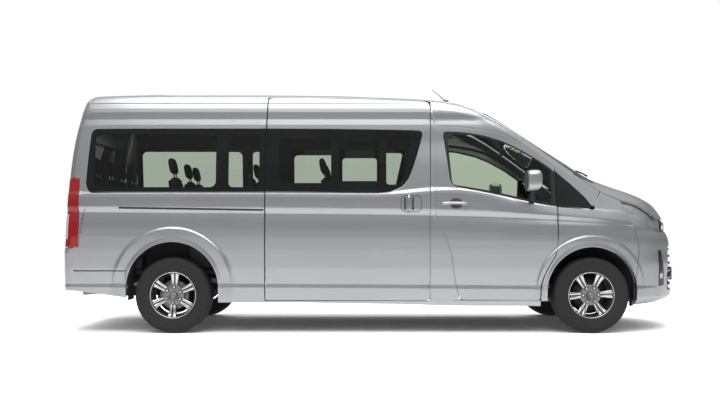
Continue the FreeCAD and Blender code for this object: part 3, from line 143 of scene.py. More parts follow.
NOSE_ROUND = 1.07


def half_width(x, z):
    """The side's distance from the middle plane: half the width, less an inset read at a height measured from
    the belt crease, the sill crease and the glass base, less the plan's taper, plus the wheel arch flares."""
    shift = (sill(x) - 0.436) * (1 - ease(z, 0.5, 0.8))
    shift = shift + (belt(x) - 1.114) * ease(z, 0.7, 0.95)
    near_glass = ease(z, belt(x) + 0.03, glass_base(x) - 0.03) * (1 - ease(z, 1.55, 1.8))
    shift = shift + (glass_base(x) - 1.2935 - (belt(x) - 1.114)) * near_glass
    shift = shift * (1 - ease(z, 1.75, 1.89))
    inset = SIDE(z - shift)
    inset = inset + low_taper(x) + upper_lean(x) * np.maximum(z - 1.0, 0.0)
    out = 0.0
    for wheel, arch, lift, crest, tall in ((REAR, 0.423, 0.069, 0.13, 0.07), (FRONT, 0.415, 0.032, 0.098, 0.062)):
        r = np.hypot(x - wheel, np.maximum(z - WHEEL_Z - lift, 0.0))
        low = 1 - ease(r, arch + crest - 0.012, arch + crest + 0.012)
        lip = ease(r, arch + tall - 0.03, arch + 0.004)
        out = out + 0.016 * low - 0.006 * low * (1 - lip) * ease(z, 0.3, 0.5)
    return HALF - inset + out * (1 - ease(z, 1.0, 1.08))


def roof_height(x, y):
    """The upper surface: the middle line, dropping to the edge line by a power of the distance out."""
    share = np.abs(y) / edge_y(x)
    return roof_middle(x) - (roof_middle(x) - roof_edge(x)) * share ** 2.3


def body(x, y, z):
    """Below 0 inside the body, above 0 outside: the side, the roof, the nose's round plan and the tail,
    each corner between them rounded."""
    y = np.abs(y)
    side = y - half_width(x, z)
    over = z - roof_height(x, y)
    reach = nose_x(z)
    centre = reach - NOSE_ROUND
    ahead = np.hypot(np.maximum(x - centre, 0.0), y) - NOSE_ROUND
    ahead = np.where(x > centre, ahead, -1.0)
    behind = tail_x(z) + 0.022 * (y / 0.85) ** 2 - x
    skin = round_max(side, over, edge_round(x))
    skin = round_max(skin, ahead, 0.1)
    return round_max(skin, behind, 0.075)


HALVINGS = 23
LONGEST_RAY = 1.9                             # longer than any way from the spine to the skin
spine_top = curve([(-2.7, 1.6), (0.4, 1.55), (1.2, 1.25), (1.9, 0.95)])


def beam(start, way):
    """Where lines from inside the body, in one direction, leave it: the crossing is found by halving."""
    near, beyond = np.zeros(start.shape[:-1]), np.full(start.shape[:-1], LONGEST_RAY)
    for _ in range(HALVINGS):
        mid = (near + beyond) / 2
        q = start + way * mid[..., None]
        outside = body(q[..., 0], q[..., 1], q[..., 2]) > 0
        beyond = np.where(outside, mid, beyond)
        near = np.where(outside, near, mid)
    return start + way * near[..., None]


def press(points):
    """Presses rough points onto the skin: each slides along the line from the nearest point of a spine
    inside the body."""
    p = np.asarray(points, float)
    core = np.empty_like(p)
    core[..., 0] = np.clip(p[..., 0], -2.6, 1.88)
    core[..., 1] = 0.0
    core[..., 2] = np.clip(p[..., 2], 0.45, spine_top(core[..., 0]))
    way = p - core
    way /= np.maximum(np.linalg.norm(way, axis=-1, keepdims=True), 1e-9)
    return beam(core, way)


def level(flat, fixed, value, way):
    """Flat points placed on the skin along rays one way, from a plane where the fixed coordinate has a value."""
    flat = np.asarray(flat, float)
    start = np.insert(flat, fixed, value, axis=-1)
    return beam(start, np.array(way, float))


def from_side(flat):
    """Points given as (x, z) in the side view, on the right side's skin."""
    return level(flat, 1, 0.0, (0, -1, 0))


def from_back(flat):
    """Points given as (y, z) in the rear view, on the tail's skin."""
    return level(flat, 0, -2.3, (-1, 0, 0))


def from_top(flat):
    """Points given as (x, y) in the top view, on the upper skin."""
    return level(flat, 2, 0.8, (0, 0, 1))


def outward(points):
    """The skin's outward direction: the gradient of the body's distance, by small differences."""
    p = np.asarray(points, float)
    h = 0.0015
    grad = np.stack([
        body(p[..., 0] + h, p[..., 1], p[..., 2]) - body(p[..., 0] - h, p[..., 1], p[..., 2]),
        body(p[..., 0], p[..., 1] + h, p[..., 2]) - body(p[..., 0], p[..., 1] - h, p[..., 2]),
        body(p[..., 0], p[..., 1], p[..., 2] + h) - body(p[..., 0], p[..., 1], p[..., 2] - h)], -1)
    return grad / np.maximum(np.linalg.norm(grad, axis=-1, keepdims=True), 1e-9)


# ---------- outlines


def rounded(corners, arc=9):
    """A closed outline through (a, b, radius) corners, each corner replaced by an arc of its radius that
    touches both straight runs."""
    points = []
    for i, (a, b, radius) in enumerate(corners):
        here = np.array([a, b], float)
        back = np.array(corners[i - 1][:2], float) - here
        ahead = np.array(corners[(i + 1) % len(corners)][:2], float) - here
        long_back, long_ahead = np.linalg.norm(back), np.linalg.norm(ahead)
        back, ahead = back / long_back, ahead / long_ahead
        half_turn = math.acos(float(np.clip(back @ ahead, -1, 1))) / 2
        if radius <= 0 or half_turn > 1.565:
            points.append(here[None])
            continue
        run = min(radius / math.tan(half_turn), 0.48 * long_back, 0.48 * long_ahead)
        radius = run * math.tan(half_turn)
        middle = (back + ahead) / np.linalg.norm(back + ahead)
        centre = here + middle * radius / math.sin(half_turn)
        one, two = here + back * run - centre, here + ahead * run - centre
        first = math.atan2(one[1], one[0])
        turn = (math.atan2(two[1], two[0]) - first + math.pi) % (2 * math.pi) - math.pi
        angle = first + turn * np.linspace(0, 1, arc)
        points.append(centre + radius * np.stack([np.cos(angle), np.sin(angle)], -1))
    return np.concatenate(points)


def soft_line(points, count=60):
    """An open line through points, each coordinate a smooth curve of the length along the straight runs."""
    p = np.array(points, float)
    length = np.concatenate([[0], np.cumsum(np.linalg.norm(np.diff(p, axis=0), axis=1))])
    at = np.linspace(0, length[-1], count)
    return np.stack([curve(np.stack([length, p[:, k]], -1))(at) for k in range(p.shape[1])], -1)


def along(points, count):
    """An open line divided into points evenly spaced by length."""
    p = np.asarray(points, float)
    length = np.concatenate([[0], np.cumsum(np.linalg.norm(np.diff(p, axis=0), axis=1))])
    at = np.linspace(0.0, length[-1], count)
    return np.stack([np.interp(at, length, p[:, k]) for k in range(p.shape[1])], -1)


def joined(*lines):
    """Lines one after another as one."""
    return np.concatenate([np.asarray(line, float) for line in lines])


def closed(grid):
    """A grid with its first column again at its end."""
    return np.concatenate([grid, grid[:, :1]], axis=1)


def looped(outline, count):
    """A closed outline as points evenly spaced by length."""
    return along(np.concatenate([outline, outline[:1]]), count + 1)[:-1]


def box_line(a0, a1, b0, b1, radius):
    """A rounded rectangle between two stations and two heights."""
    return rounded([(a0, b0, radius), (a1, b0, radius), (a1, b1, radius), (a0, b1, radius)])


def radial(outline, centre, angles):
    """A closed outline's points at given angles about a centre: its distance is read against the angle."""
    closed = np.concatenate([outline, outline[:1]])
    dense = along(closed, 4000)
    offset = dense - centre
    angle = np.unwrap(np.arctan2(offset[:, 1], offset[:, 0]))
    if angle[-1] < angle[0]:
        angle, offset = angle[::-1], offset[::-1]
    radius = np.hypot(offset[:, 0], offset[:, 1])
    base = angle[0]
    order = np.argsort(angle, kind="stable")
    r = np.interp((angles - base) % (2 * math.pi) + base, angle[order], radius[order])
    return centre + r[:, None] * np.stack([np.cos(angles), np.sin(angles)], -1)


def between(inner, outer, rows, trim=(0.0, 0.0), dense=0.0):
    """Rows of straight-line steps from one line to another with as many points; a length is left off each end,
    and the steps are drawn towards both ends by `dense`."""
    inner, outer = np.asarray(inner, float), np.asarray(outer, float)
    length = np.maximum(np.linalg.norm(outer - inner, axis=-1), 1e-6)
    first, last = trim[0] / length, 1 - trim[1] / length
    t = np.linspace(0, 1, rows)
    share = first + (last - first) * (t + dense * (ease(t, 0, 1) - t))[:, None]
    return inner + (outer - inner) * share[..., None]


def ring(inner, outer, centre, count, rows, dense=0.0):
    """The flat area between two closed outlines, along lines from a centre that both surround. The lines pass
    through points evenly spaced on the outer outline."""
    rim = looped(outer, count)
    angles = np.arctan2(rim[:, 1] - centre[1], rim[:, 0] - centre[0])
    return closed(between(radial(inner, np.array(centre), angles), rim, rows, dense=dense))


def disc(outline, centre, count, rows):
    """The flat area inside a closed outline, as rings that shrink to a centre."""
    rim = looped(outline, count)
    return closed(between(np.broadcast_to(np.array(centre, float), rim.shape), rim, rows))


# ---------- meshes

made = {}


def quad_grid(rows, cols, wrap=(False, False)):
    """The four corners of each face of a grid, as an array of the grid's shape; wrap closes it either way."""
    index = np.arange(rows * cols).reshape(rows, cols)
    if wrap[0]:
        index = np.vstack([index, index[:1]])
    if wrap[1]:
        index = np.hstack([index, index[:, :1]])
    return np.stack([index[:-1, :-1], index[:-1, 1:], index[1:, 1:], index[1:, :-1]], -1)


def face_sums(flat, quads):
    """Each face's normal, as long as twice its area, and its middle."""
    a, b, c, d = (flat[quads[:, k]] for k in range(4))
    return np.cross(c - a, d - b), (a + b + c + d) / 4


def surface(name, points, material, rides, wrap=(False, False), away=None):
    """A mesh over a grid of points, rows by columns; wrap closes it in either direction. Faces are turned
    to point away from a point, or for a closed shape outwards."""
    quads = quad_grid(*points.shape[:2], wrap).reshape(-1, 4)
    flat = points.reshape(-1, 3)
    if away is not None:
        normal, middle = face_sums(flat, quads)
        if np.sum(normal * (middle - np.array(away))) < 0:
            quads = quads[:, ::-1]
    return build(name, [(flat, quads)], material, rides, away is None)


def build(name, pieces, material, rides, weld=False):
    """One object from several (points, faces) pieces, riding on a body."""
    mesh = bpy.data.meshes.new(name)
    points = np.concatenate([np.asarray(p, float).reshape(-1, 3) for p, _ in pieces])
    faces, start = [], 0
    for p, f in pieces:
        faces.append(np.asarray(f) + start)
        start += np.asarray(p).reshape(-1, 3).shape[0]
    rows = np.concatenate(faces)
    mesh.vertices.add(len(points))
    mesh.vertices.foreach_set("co", points.astype(np.float32).ravel())
    mesh.loops.add(rows.size)
    mesh.loops.foreach_set("vertex_index", rows.astype(np.int32).ravel())
    mesh.polygons.add(len(rows))
    mesh.polygons.foreach_set("loop_start", np.arange(0, rows.size, 4, dtype=np.int32))
    mesh.update(calc_edges=True)
    mesh.validate()
    if weld:
        edit = bmesh.new()
        edit.from_mesh(mesh)
        bmesh.ops.remove_doubles(edit, verts=edit.verts, dist=2e-6)
        bmesh.ops.dissolve_degenerate(edit, dist=1e-7, edges=edit.edges)
        bmesh.ops.recalc_face_normals(edit, faces=edit.faces)
        edit.to_mesh(mesh)
        edit.free()
    mesh.polygons.foreach_set("use_smooth", np.full(len(mesh.polygons), True))
    piece = bpy.data.objects.new(name, mesh)
    bpy.context.scene.collection.objects.link(piece)
    mesh.materials.append(material)
    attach(piece, rides)
    made[name] = piece
    return piece


def mirrored(points, side):
    """Right-hand points as they are, or across the middle plane for the left."""
    return points if side == "right" else points * np.array([1.0, -1.0, 1.0])


def turned_over(quads, side):
    """Faces of right-hand points as they are, or turned round for the left."""
    return quads if side == "right" else quads[:, ::-1]


def hand_over(grid, side):
    """A right-hand grid's points and faces, mirrored for the left side."""
    return mirrored(grid.reshape(-1, 3), side), turned_over(grid_quads(grid), side)


def sunk_grid(flat, depth, place=from_side):
    """Flat points placed on the skin and moved inwards by a depth."""
    points = place(flat)
    return points - outward(points) * depth


def folded(points, normals, radius=0.0025, depth=0.018):
    """A panel with its open edges rolled under: past each edge the rows follow a quarter circle,
    then run straight in by a depth."""
    angles = np.array([0.5, 1.0, 1.5708])
    out = np.concatenate([radius * np.sin(angles), [radius]])
    down = np.concatenate([radius * (1 - np.cos(angles)), [radius + depth]])
    for axis in (0, 1):
        p, n = np.moveaxis(points, axis, 0), np.moveaxis(normals, axis, 0)
        for end in (0, -1):
            step = p[end] - p[1 if end == 0 else -2]
            step = step - n[end] * np.sum(step * n[end], -1, keepdims=True)
            step = step / np.maximum(np.linalg.norm(step, axis=-1, keepdims=True), 1e-9)
            rows = p[end] + out[:, None, None] * step - down[:, None, None] * n[end]
            rows_n = np.broadcast_to(n[end], rows.shape)
            p = np.concatenate([rows[::-1], p]) if end == 0 else np.concatenate([p, rows])
            n = np.concatenate([rows_n[::-1], n]) if end == 0 else np.concatenate([n, rows_n])
        points, normals = np.moveaxis(p, 0, axis), np.moveaxis(n, 0, axis)
    return points


def panel(name, flat, side, rides="body", depth=0.018):
    """A painted panel: a side-view grid placed on the skin, its edges rolled under."""
    points = from_side(flat)
    skin = mirrored(folded(points, outward(points), depth=depth), side)
    surface(name, skin, PAINT, rides, away=away_from(skin))


def painted(name, points, side, away, rides="body"):
    """A painted panel from a grid already on the skin, its edges rolled under."""
    surface(name, mirrored(folded(points, outward(points)), side), PAINT, rides, away=away)


def away_from(points):
    """A point on the middle plane, well inside, that a panel faces away from."""
    middle = points.reshape(-1, 3).mean(axis=0)
    return (float(np.clip(middle[0], -2.3, 1.9)), 0.0, float(np.clip(middle[2], 0.5, 1.3)))


# ---------- finishes


def node(tree, kind, **values):
    """A node with its input sockets set by name."""
    added = tree.nodes.new(kind)
    for key, value in values.items():
        added.inputs[key.replace("_", " ")].default_value = value
    return added


def blank_material(name):
    """A material with nothing but its output."""
    made_of = bpy.data.materials.new(name)
    made_of.use_nodes = True
    made_of.node_tree.nodes.clear()
    return made_of, made_of.node_tree, node(made_of.node_tree, "ShaderNodeOutputMaterial")


def finish_start(name):
    """A material with one Principled shader wired to its output."""
    made_of, tree, out = blank_material(name)
    skin = node(tree, "ShaderNodeBsdfPrincipled")
    tree.links.new(skin.outputs[0], out.inputs[0])
    return made_of, tree, skin


def mixed(tree, share, one, two):
    """Two shaders mixed by a share."""
    mix = node(tree, "ShaderNodeMixShader")
    for k, socket in enumerate((share, one.outputs[0], two.outputs[0])):
        tree.links.new(socket, mix.inputs[k])
    return mix


def grain(tree, scale, detail=3.0):
    """Noise over object coordinates."""
    noise = node(tree, "ShaderNodeTexNoise", Scale=scale, Detail=detail, Roughness=0.55)
    tree.links.new(node(tree, "ShaderNodeTexCoord").outputs["Object"], noise.inputs["Vector"])
    return noise.outputs["Fac"]


def spread(tree, fac, low, high, start=0.3, end=0.7):
    """A colour that runs from low to high as a factor runs from start to end."""
    ramp = tree.nodes.new("ShaderNodeValToRGB")
    ramp.color_ramp.elements[0].position, ramp.color_ramp.elements[1].position = start, end
    ramp.color_ramp.elements[0].color, ramp.color_ramp.elements[1].color = (*low, 1), (*high, 1)
    tree.links.new(fac, ramp.inputs["Fac"])
    return ramp.outputs["Color"]


def limits(tree, fac, low, high):
    """A factor stretched to run from low to high."""
    scaled = node(tree, "ShaderNodeMapRange", To_Min=low, To_Max=high)
    tree.links.new(fac, scaled.inputs["Value"])
    return scaled.outputs["Result"]


def grained(name, low, high, rough, scale, strength, distance=0.0004, metallic=0.0):
    """A moulded, cast or painted finish: noise drives its colour, roughness and relief."""
    made_of, tree, skin = finish_start(name)
    fac = grain(tree, scale)
    tree.links.new(spread(tree, fac, low, high), skin.inputs["Base Color"])
    tree.links.new(limits(tree, fac, *rough), skin.inputs["Roughness"])
    skin.inputs["Metallic"].default_value = metallic
    bump = node(tree, "ShaderNodeBump", Strength=strength, Distance=distance)
    tree.links.new(fac, bump.inputs["Height"])
    tree.links.new(bump.outputs["Normal"], skin.inputs["Normal"])
    return made_of


def silver_paint():
    """Metallic paint: fine flakes under a clear coat, with a slow drift of tone."""
    made_of, tree, skin = finish_start("silver_paint")
    flakes = node(tree, "ShaderNodeTexVoronoi", Scale=900.0)
    tree.links.new(node(tree, "ShaderNodeTexCoord").outputs["Object"], flakes.inputs["Vector"])
    base = spread(tree, grain(tree, 0.9, 2.0), (0.465, 0.475, 0.5), (0.49, 0.5, 0.525), 0.25, 0.75)
    mix = node(tree, "ShaderNodeMixRGB", Fac=0.05)
    mix.blend_type = "OVERLAY"
    tree.links.new(base, mix.inputs["Color1"])
    tree.links.new(flakes.outputs["Color"], mix.inputs["Color2"])
    tree.links.new(mix.outputs["Color"], skin.inputs["Base Color"])
    skin.inputs["Metallic"].default_value = 0.82
    tree.links.new(limits(tree, grain(tree, 300.0, 2.0), 0.27, 0.32), skin.inputs["Roughness"])
    skin.inputs["Coat Weight"].default_value = 0.35
    skin.inputs["Coat Roughness"].default_value = 0.08
    return made_of


def pane(name, tint):
    """Window glass: what is behind shows through a tint, under a reflection that grows at low angles."""
    made_of, tree, out = blank_material(name)
    through = node(tree, "ShaderNodeBsdfTransparent")
    low = tuple(c * 0.97 for c in tint)
    tree.links.new(spread(tree, grain(tree, 1.3, 1.0), low, tint), through.inputs["Color"])
    shine = node(tree, "ShaderNodeBsdfGlossy", Roughness=0.0, Color=(0.9, 0.93, 0.92, 1))
    edge = node(tree, "ShaderNodeFresnel", IOR=1.5)
    tree.links.new(mixed(tree, edge.outputs[0], through, shine).outputs[0], out.inputs[0])
    return made_of


def lens(name, tint):
    """A moulded lamp lens: clear coat over a deep tint, its colour and roughness varied by fine noise."""
    material, tree, skin = finish_start(name)
    fac = grain(tree, 60.0, 2.0)
    tree.links.new(spread(tree, fac, tuple(c * 0.82 for c in tint), tint), skin.inputs["Base Color"])
    tree.links.new(limits(tree, fac, 0.06, 0.06 + 0.08), skin.inputs["Roughness"])
    skin.inputs["Coat Weight"].default_value = 0.8
    skin.inputs["Coat Roughness"].default_value = 0.03
    return material


PAINT = silver_paint()
FRIT = grained("black_glass_band", (0.004, 0.006, 0.0055), (0.007, 0.01, 0.009), (0.03, 0.06), 3.0, 0.0)
DARK_PANE = pane("tinted_pane", (0.6, 0.65, 0.58))
FRONT_PANE = pane("clear_pane", (0.63, 0.7, 0.6))
BLACK_PLASTIC = grained("black_moulding", (0.008, 0.008, 0.009), (0.016, 0.016, 0.017), (0.5, 0.65), 260.0, 0.25)
GLOSS_BLACK = grained("gloss_black_trim", (0.006, 0.006, 0.007), (0.012, 0.012, 0.013), (0.12, 0.2), 40.0, 0.02)
SEAL = grained("rubber_seal", (0.01, 0.01, 0.011), (0.018, 0.018, 0.019), (0.7, 0.85), 160.0, 0.2)
CHROME = grained("bright_metal", (0.75, 0.76, 0.77), (0.82, 0.83, 0.84), (0.06, 0.12), 30.0, 0.02, metallic=1.0)
LINING = grained("roof_lining", (0.3, 0.295, 0.27), (0.36, 0.35, 0.32), (0.85, 0.95), 420.0, 0.3)
TRIM = grained("cabin_trim", (0.2, 0.19, 0.165), (0.25, 0.235, 0.2), (0.55, 0.7), 300.0, 0.3)
# dark paint that stands for shade: painted shade in and round the door handles' cups
SHADOW_PAINT = grained("recess_painted_shade", (0.075, 0.078, 0.084), (0.105, 0.108, 0.116), (0.35, 0.5), 40.0, 0.05,
                       metallic=0.5)
TYRE = grained("tyre_rubber_finish", (0.016, 0.016, 0.017), (0.028, 0.028, 0.029), (0.72, 0.88), 340.0, 0.35)
RIM_BRIGHT = grained("machined_alloy", (0.66, 0.67, 0.68), (0.76, 0.77, 0.78), (0.2, 0.3), 220.0, 0.06,
                     metallic=1.0)
HUB_GREY = grained("hub_alloy", (0.24, 0.24, 0.245), (0.3, 0.3, 0.305), (0.3, 0.42), 120.0, 0.08, metallic=0.8)
RIM_DARK = grained("painted_alloy", (0.045, 0.046, 0.048), (0.07, 0.071, 0.074), (0.35, 0.5), 90.0, 0.05,
                   metallic=0.4)
BRAKE_STEEL = grained("brake_steel", (0.16, 0.155, 0.15), (0.26, 0.25, 0.24), (0.35, 0.55), 70.0, 0.15,
                      metallic=0.9)
SEAT_CLOTH = grained("seat_cloth", (0.03, 0.031, 0.032), (0.062, 0.063, 0.064), (0.85, 0.95), 900.0, 0.5, 0.0006)
SEAT_EDGE = grained("headrest_cloth", (0.02, 0.02, 0.021), (0.042, 0.042, 0.043), (0.8, 0.9), 900.0, 0.5, 0.0006)
FLOOR_MAT = grained("floor_covering", (0.055, 0.055, 0.056), (0.085, 0.085, 0.086), (0.75, 0.9), 160.0, 0.25)
LINER = grained("moulded_liner", (0.012, 0.012, 0.013), (0.022, 0.022, 0.023), (0.7, 0.85), 120.0, 0.3)
CHASSIS = grained("chassis_black", (0.014, 0.014, 0.015), (0.026, 0.026, 0.027), (0.35, 0.5), 70.0, 0.15)
CAST = grained("cast_iron", (0.06, 0.058, 0.055), (0.11, 0.106, 0.1), (0.5, 0.7), 110.0, 0.4, metallic=0.7)
EXHAUST = grained("exhaust_metal", (0.22, 0.2, 0.18), (0.36, 0.34, 0.31), (0.35, 0.5), 60.0, 0.15, metallic=0.9)
PLATE_WHITE = grained("plate_white", (0.62, 0.62, 0.6), (0.7, 0.7, 0.68), (0.35, 0.45), 90.0, 0.05)
RED_LENS = lens("red_lens_finish", (0.36, 0.006, 0.009))
CLEAR_LENS = lens("clear_lens_finish", (0.72, 0.74, 0.75))
LENS = pane("headlight_cover", (0.92, 0.95, 0.95))
BOWL = grained("headlight_reflector", (0.66, 0.68, 0.68), (0.84, 0.86, 0.86), (0.18, 0.3), 14.0, 0.15,
               metallic=0.15)
DARK_TRIM = grained("dark_cabin_trim", (0.022, 0.022, 0.023), (0.035, 0.035, 0.036), (0.55, 0.7), 300.0, 0.3)

# ---------- panel lines on the right side, as (x, z)

SEAM = 0.005                                  # from a shut line's middle to a panel's rolled edge
SLIDE_BACK, SLIDE_FRONT = -1.064, 0.456

edge_rough = soft_line([(-2.705, -0.79, 2.165), (-2.4, -0.8, 2.187), (-1.5, -0.8, 2.197), (-0.5, -0.8, 2.192),
                        (0.1, -0.798, 2.178), (0.45, -0.792, 2.16), (0.7, -0.77, 2.12), (0.95, -0.725, 2.035),
                        (1.2, -0.722, 1.895), (1.5, -0.738, 1.7), (1.8, -0.765, 1.485), (1.95, -0.79, 1.392)],
                        400)


def edge_line(x0, x1, count):
    """The roof's and windscreen's edge between two stations, pressed onto the skin."""
    x = np.linspace(x0, x1, count)
    rough = np.stack([x, np.interp(x, edge_rough[:, 0], edge_rough[:, 1]),
                      np.interp(x, edge_rough[:, 0], edge_rough[:, 2])], -1)
    return press(rough)


def matched(sections):
    """Two lines divided alike: each section gives the inner line, the outer line and how many points."""
    inner, outer = [], []
    for k, (one, two, count) in enumerate(sections):
        skip = 0 if k == 0 else 1
        inner.append(along(one, count + skip)[skip:])
        outer.append(along(two, count + skip)[skip:])
    return np.concatenate(inner), np.concatenate(outer)


def bend(corner, start, end, steps=7):
    """A rounded corner between two points: a parabola drawn towards the corner point."""
    t = np.linspace(0, 1, steps)[:, None]
    a, b, c = (np.array(v, float) for v in (start, corner, end))
    return (1 - t) ** 2 * a + 2 * t * (1 - t) * b + t ** 2 * c


# the glass band, split at the sliding door's rear seam
BAND_Z = 1.2985
band_rear_low = [(SLIDE_BACK - SEAM, BAND_Z), (-2.655, BAND_Z)]
band_rear_corner = bend((-2.707, BAND_Z), (-2.655, BAND_Z), (-2.7165, 1.39))
band_rear_back = soft_line([(-2.7165, 1.39), (-2.702, 1.64), (-2.684, 1.835)], 20)
band_rear_top_corner = bend((-2.679, 1.893), (-2.684, 1.835), (-2.62, 1.8935))
band_rear_top = [(-2.62, 1.8935), (SLIDE_BACK + 0.007 - SEAM, 1.8935)]

band_slide_low = joined([(SLIDE_BACK + SEAM, BAND_Z)], [(-0.06, 1.2945)],
                        soft_line([(-0.06, 1.2945), (0.06, 1.303), (0.15, 1.33), (0.215, 1.37), (0.262, 1.43)],
                                  24))
band_slide_front = soft_line([(0.262, 1.43), (0.3, 1.525), (0.352, 1.69), (0.388, 1.82)], 20)
band_slide_top_corner = bend((0.404, 1.873), (0.388, 1.82), (0.345, 1.877))
band_slide_top = soft_line([(0.345, 1.877), (0.0, 1.884), (-0.5, 1.891), (SLIDE_BACK + 0.007 + SEAM, 1.8935)], 20)

door_low = joined(bend((0.736, 0.314), (0.7235, 0.345), (0.772, 0.314)), [(1.435, 0.311)],
                  bend((1.468, 0.311), (1.435, 0.311), (1.468, 0.345)))
door_front_low = soft_line([(1.468, 0.345), (1.4685, 0.385), (1.476, 0.45), (1.495, 0.515), (1.53, 0.595),
                            (1.57, 0.665), (1.605, 0.725), (1.624, 0.785), (1.6285, 0.86), (1.629, 0.96)], 30)
door_back_low = soft_line([(0.5155, 1.091), (0.526, 1.055), (0.56, 0.99), (0.602, 0.9), (0.632, 0.81),
                           (0.655, 0.735), (0.68, 0.56), (0.7055, 0.42), (0.7235, 0.345)], 40)
door_back = [(0.521, 1.86), (0.5155, 1.091)]
door_top = joined(soft_line([(1.6285, 1.538), (1.6, 1.572), (1.485, 1.657), (1.33, 1.753), (1.223, 1.809),
                             (1.064, 1.86), (0.901, 1.888), (0.688, 1.9075), (0.58, 1.911)], 60),
                  bend((0.5215, 1.913), (0.58, 1.911), (0.521, 1.86)))
glass_top = soft_line([(1.6235, 1.5), (1.56, 1.55), (1.431, 1.632), (1.274, 1.722), (1.113, 1.79),
                       (0.9, 1.844), (0.7, 1.866), (0.625, 1.868)], 60)
glass_back = joined(bend((0.574, 1.872), (0.625, 1.868), (0.586, 1.815)),
                    soft_line([(0.586, 1.815), (0.606, 1.68), (0.632, 1.5), (0.642, 1.425)], 20),
                    bend((0.651, 1.358), (0.642, 1.425), (0.725, 1.346)))
glass_low = soft_line([(0.725, 1.346), (1.0, 1.296), (1.311, 1.229), (1.5, 1.192), (1.6235, 1.174)], 40)

# ---------- body side


def side_skin(side):
    """The painted side: rear quarter, sliding-door panel, pillars, cant rail and sill."""
    inner, outer = matched([
        ([(SLIDE_BACK - SEAM, BAND_Z), (-1.35, BAND_Z)], [(SLIDE_BACK - SEAM, 0.3), (-1.4895, 0.3)], 30),
        ([(-1.35, BAND_Z), (-2.36, BAND_Z)], arch_line(REAR, 0.423, 0.069, 0.3, 0.583), 170),
        ([(-2.36, BAND_Z), (-2.655, BAND_Z)], [(-2.3355, 0.583), (-2.816, 0.583)], 40),
        (band_rear_corner, joined([(-2.816, 0.583), (-2.826, 0.6)], [(-2.828, 0.786), (-2.772, 0.797)],
                                  [(-2.775, 1.05), (-2.7795, 1.436)]), 60),
        (joined(band_rear_back, band_rear_top_corner[1:4]),
         joined([(-2.7795, 1.436)], soft_line([(-2.8405, 1.438), (-2.823, 1.69), (-2.786, 1.902), (-2.743, 2.085),
                                              (-2.712, 2.16)], 40)), 60),
    ])
    body_part = from_side(between(inner, outer, 90, (0.004, 0.0025), 0.4))
    top_inner = along(joined(band_rear_top_corner[3:], band_rear_top), 110)
    top_outer = edge_line(-2.705, SLIDE_BACK + 0.024 - SEAM, 110)
    upper = press(between(from_side(top_inner + [0.0, 0.004]), top_outer, 90, (0.0, 0.0), 0.4))
    painted("quarter_panel_" + side, press(np.concatenate([body_part[:, :-1], upper], axis=1)), side,
            (-1.5, 0, 1.0))

    inner, outer = matched([
        (band_slide_low, joined(bend((SLIDE_BACK, 0.306), (SLIDE_BACK, 0.338), (-1.03, 0.306)),
                                [(0.42, 0.302)]), 120),
        (band_slide_front, joined(bend((SLIDE_FRONT, 0.302), (0.42, 0.302), (SLIDE_FRONT, 0.338)),
                                  [(0.4565, 1.1), (0.467, 2.07)]), 90),
        (band_slide_top_corner, joined(bend((0.468, 2.158), (0.467, 2.07), (0.4, 2.168))), 20),
        (band_slide_top, soft_line([(0.4, 2.168), (0.1, 2.178), (-0.5, 2.192), (-0.98, 2.196),
                                    (-1.028, 2.185), (-1.043, 2.14)], 60), 90),
    ])
    flat = between(inner, outer, 90, (0.004, SEAM), 0.4)
    flat[:, 0] += [SEAM, 0.0]
    flat[:, -1] += [SEAM, 0.0]
    panel("sliding_door_skin_right" if side == "right" else "fixed_side_panel_left", flat, side)

    inner, outer = matched([
        (joined(bend((0.729, 0.3095), (0.742, 0.3095), (0.7235, 0.345)), door_back_low[::-1]),
         [(SLIDE_FRONT + SEAM, 0.3035), (SLIDE_FRONT + SEAM, 1.091)], 80),
        (door_back[::-1], [(SLIDE_FRONT + SEAM, 1.091), (0.472, 2.07)], 60),
    ])
    pillar = from_side(between(inner, outer, 16, (SEAM, 0.0), 0.2))
    rail_inner = along(door_top[::-1], 130)
    rail_outer = edge_line(0.4735, 1.64, 130)
    rail = between(from_side(rail_inner), rail_outer, 16, (SEAM, 0.0), 0.2)
    foot_inner = from_side(along([(1.633, 1.533), (1.635, 1.501), (1.69, 1.453), (1.752, 1.401)], 26))[1:]
    foot_outer = edge_line(1.64, 1.815, 26)[1:]
    foot = between(foot_inner, foot_outer, 16, (0.003, 0.0), 0.2)
    painted("door_pillars_" + side, press(np.concatenate([pillar, rail, foot], axis=1)), side, (0.8, 0, 1.0))

    low = along(soft_line([(-1.4895, 0.2895), (-1.058, 0.289), (0.2, 0.272), (0.822, 0.258), (1.47, 0.256)]), 160)
    high = along([(-1.4895, 0.2995), (SLIDE_BACK, 0.2995), (0.45, 0.2975), (0.6, 0.3035), (1.47, 0.3045)], 160)
    panel("sill_" + side, between(low, high, 8), side, depth=0.03)


def arch_line(wheel, radius, rise, low_front, low_back, steps=120):
    """A wheel arch from its front foot over the wheel to its back foot, in the side view."""
    angle = np.linspace(0, math.pi, steps)
    top = WHEEL_Z + rise
    arc = np.stack([wheel + radius * np.cos(angle), top + radius * np.sin(angle)], -1)
    return joined([(wheel + radius, low_front)], arc, [(wheel - radius, low_back)])


for hand in SIDES:
    side_skin(hand)

right_edge = edge_line(-2.7, 0.965, 200)
left_edge = right_edge * [1, -1, 1]
roof_points = press(between(right_edge, left_edge, 70, (0.003, 0.003), 0.3))
painted("roof_skin", roof_points, "right", (-0.5, 0, 1.0))

# ---------- front doors


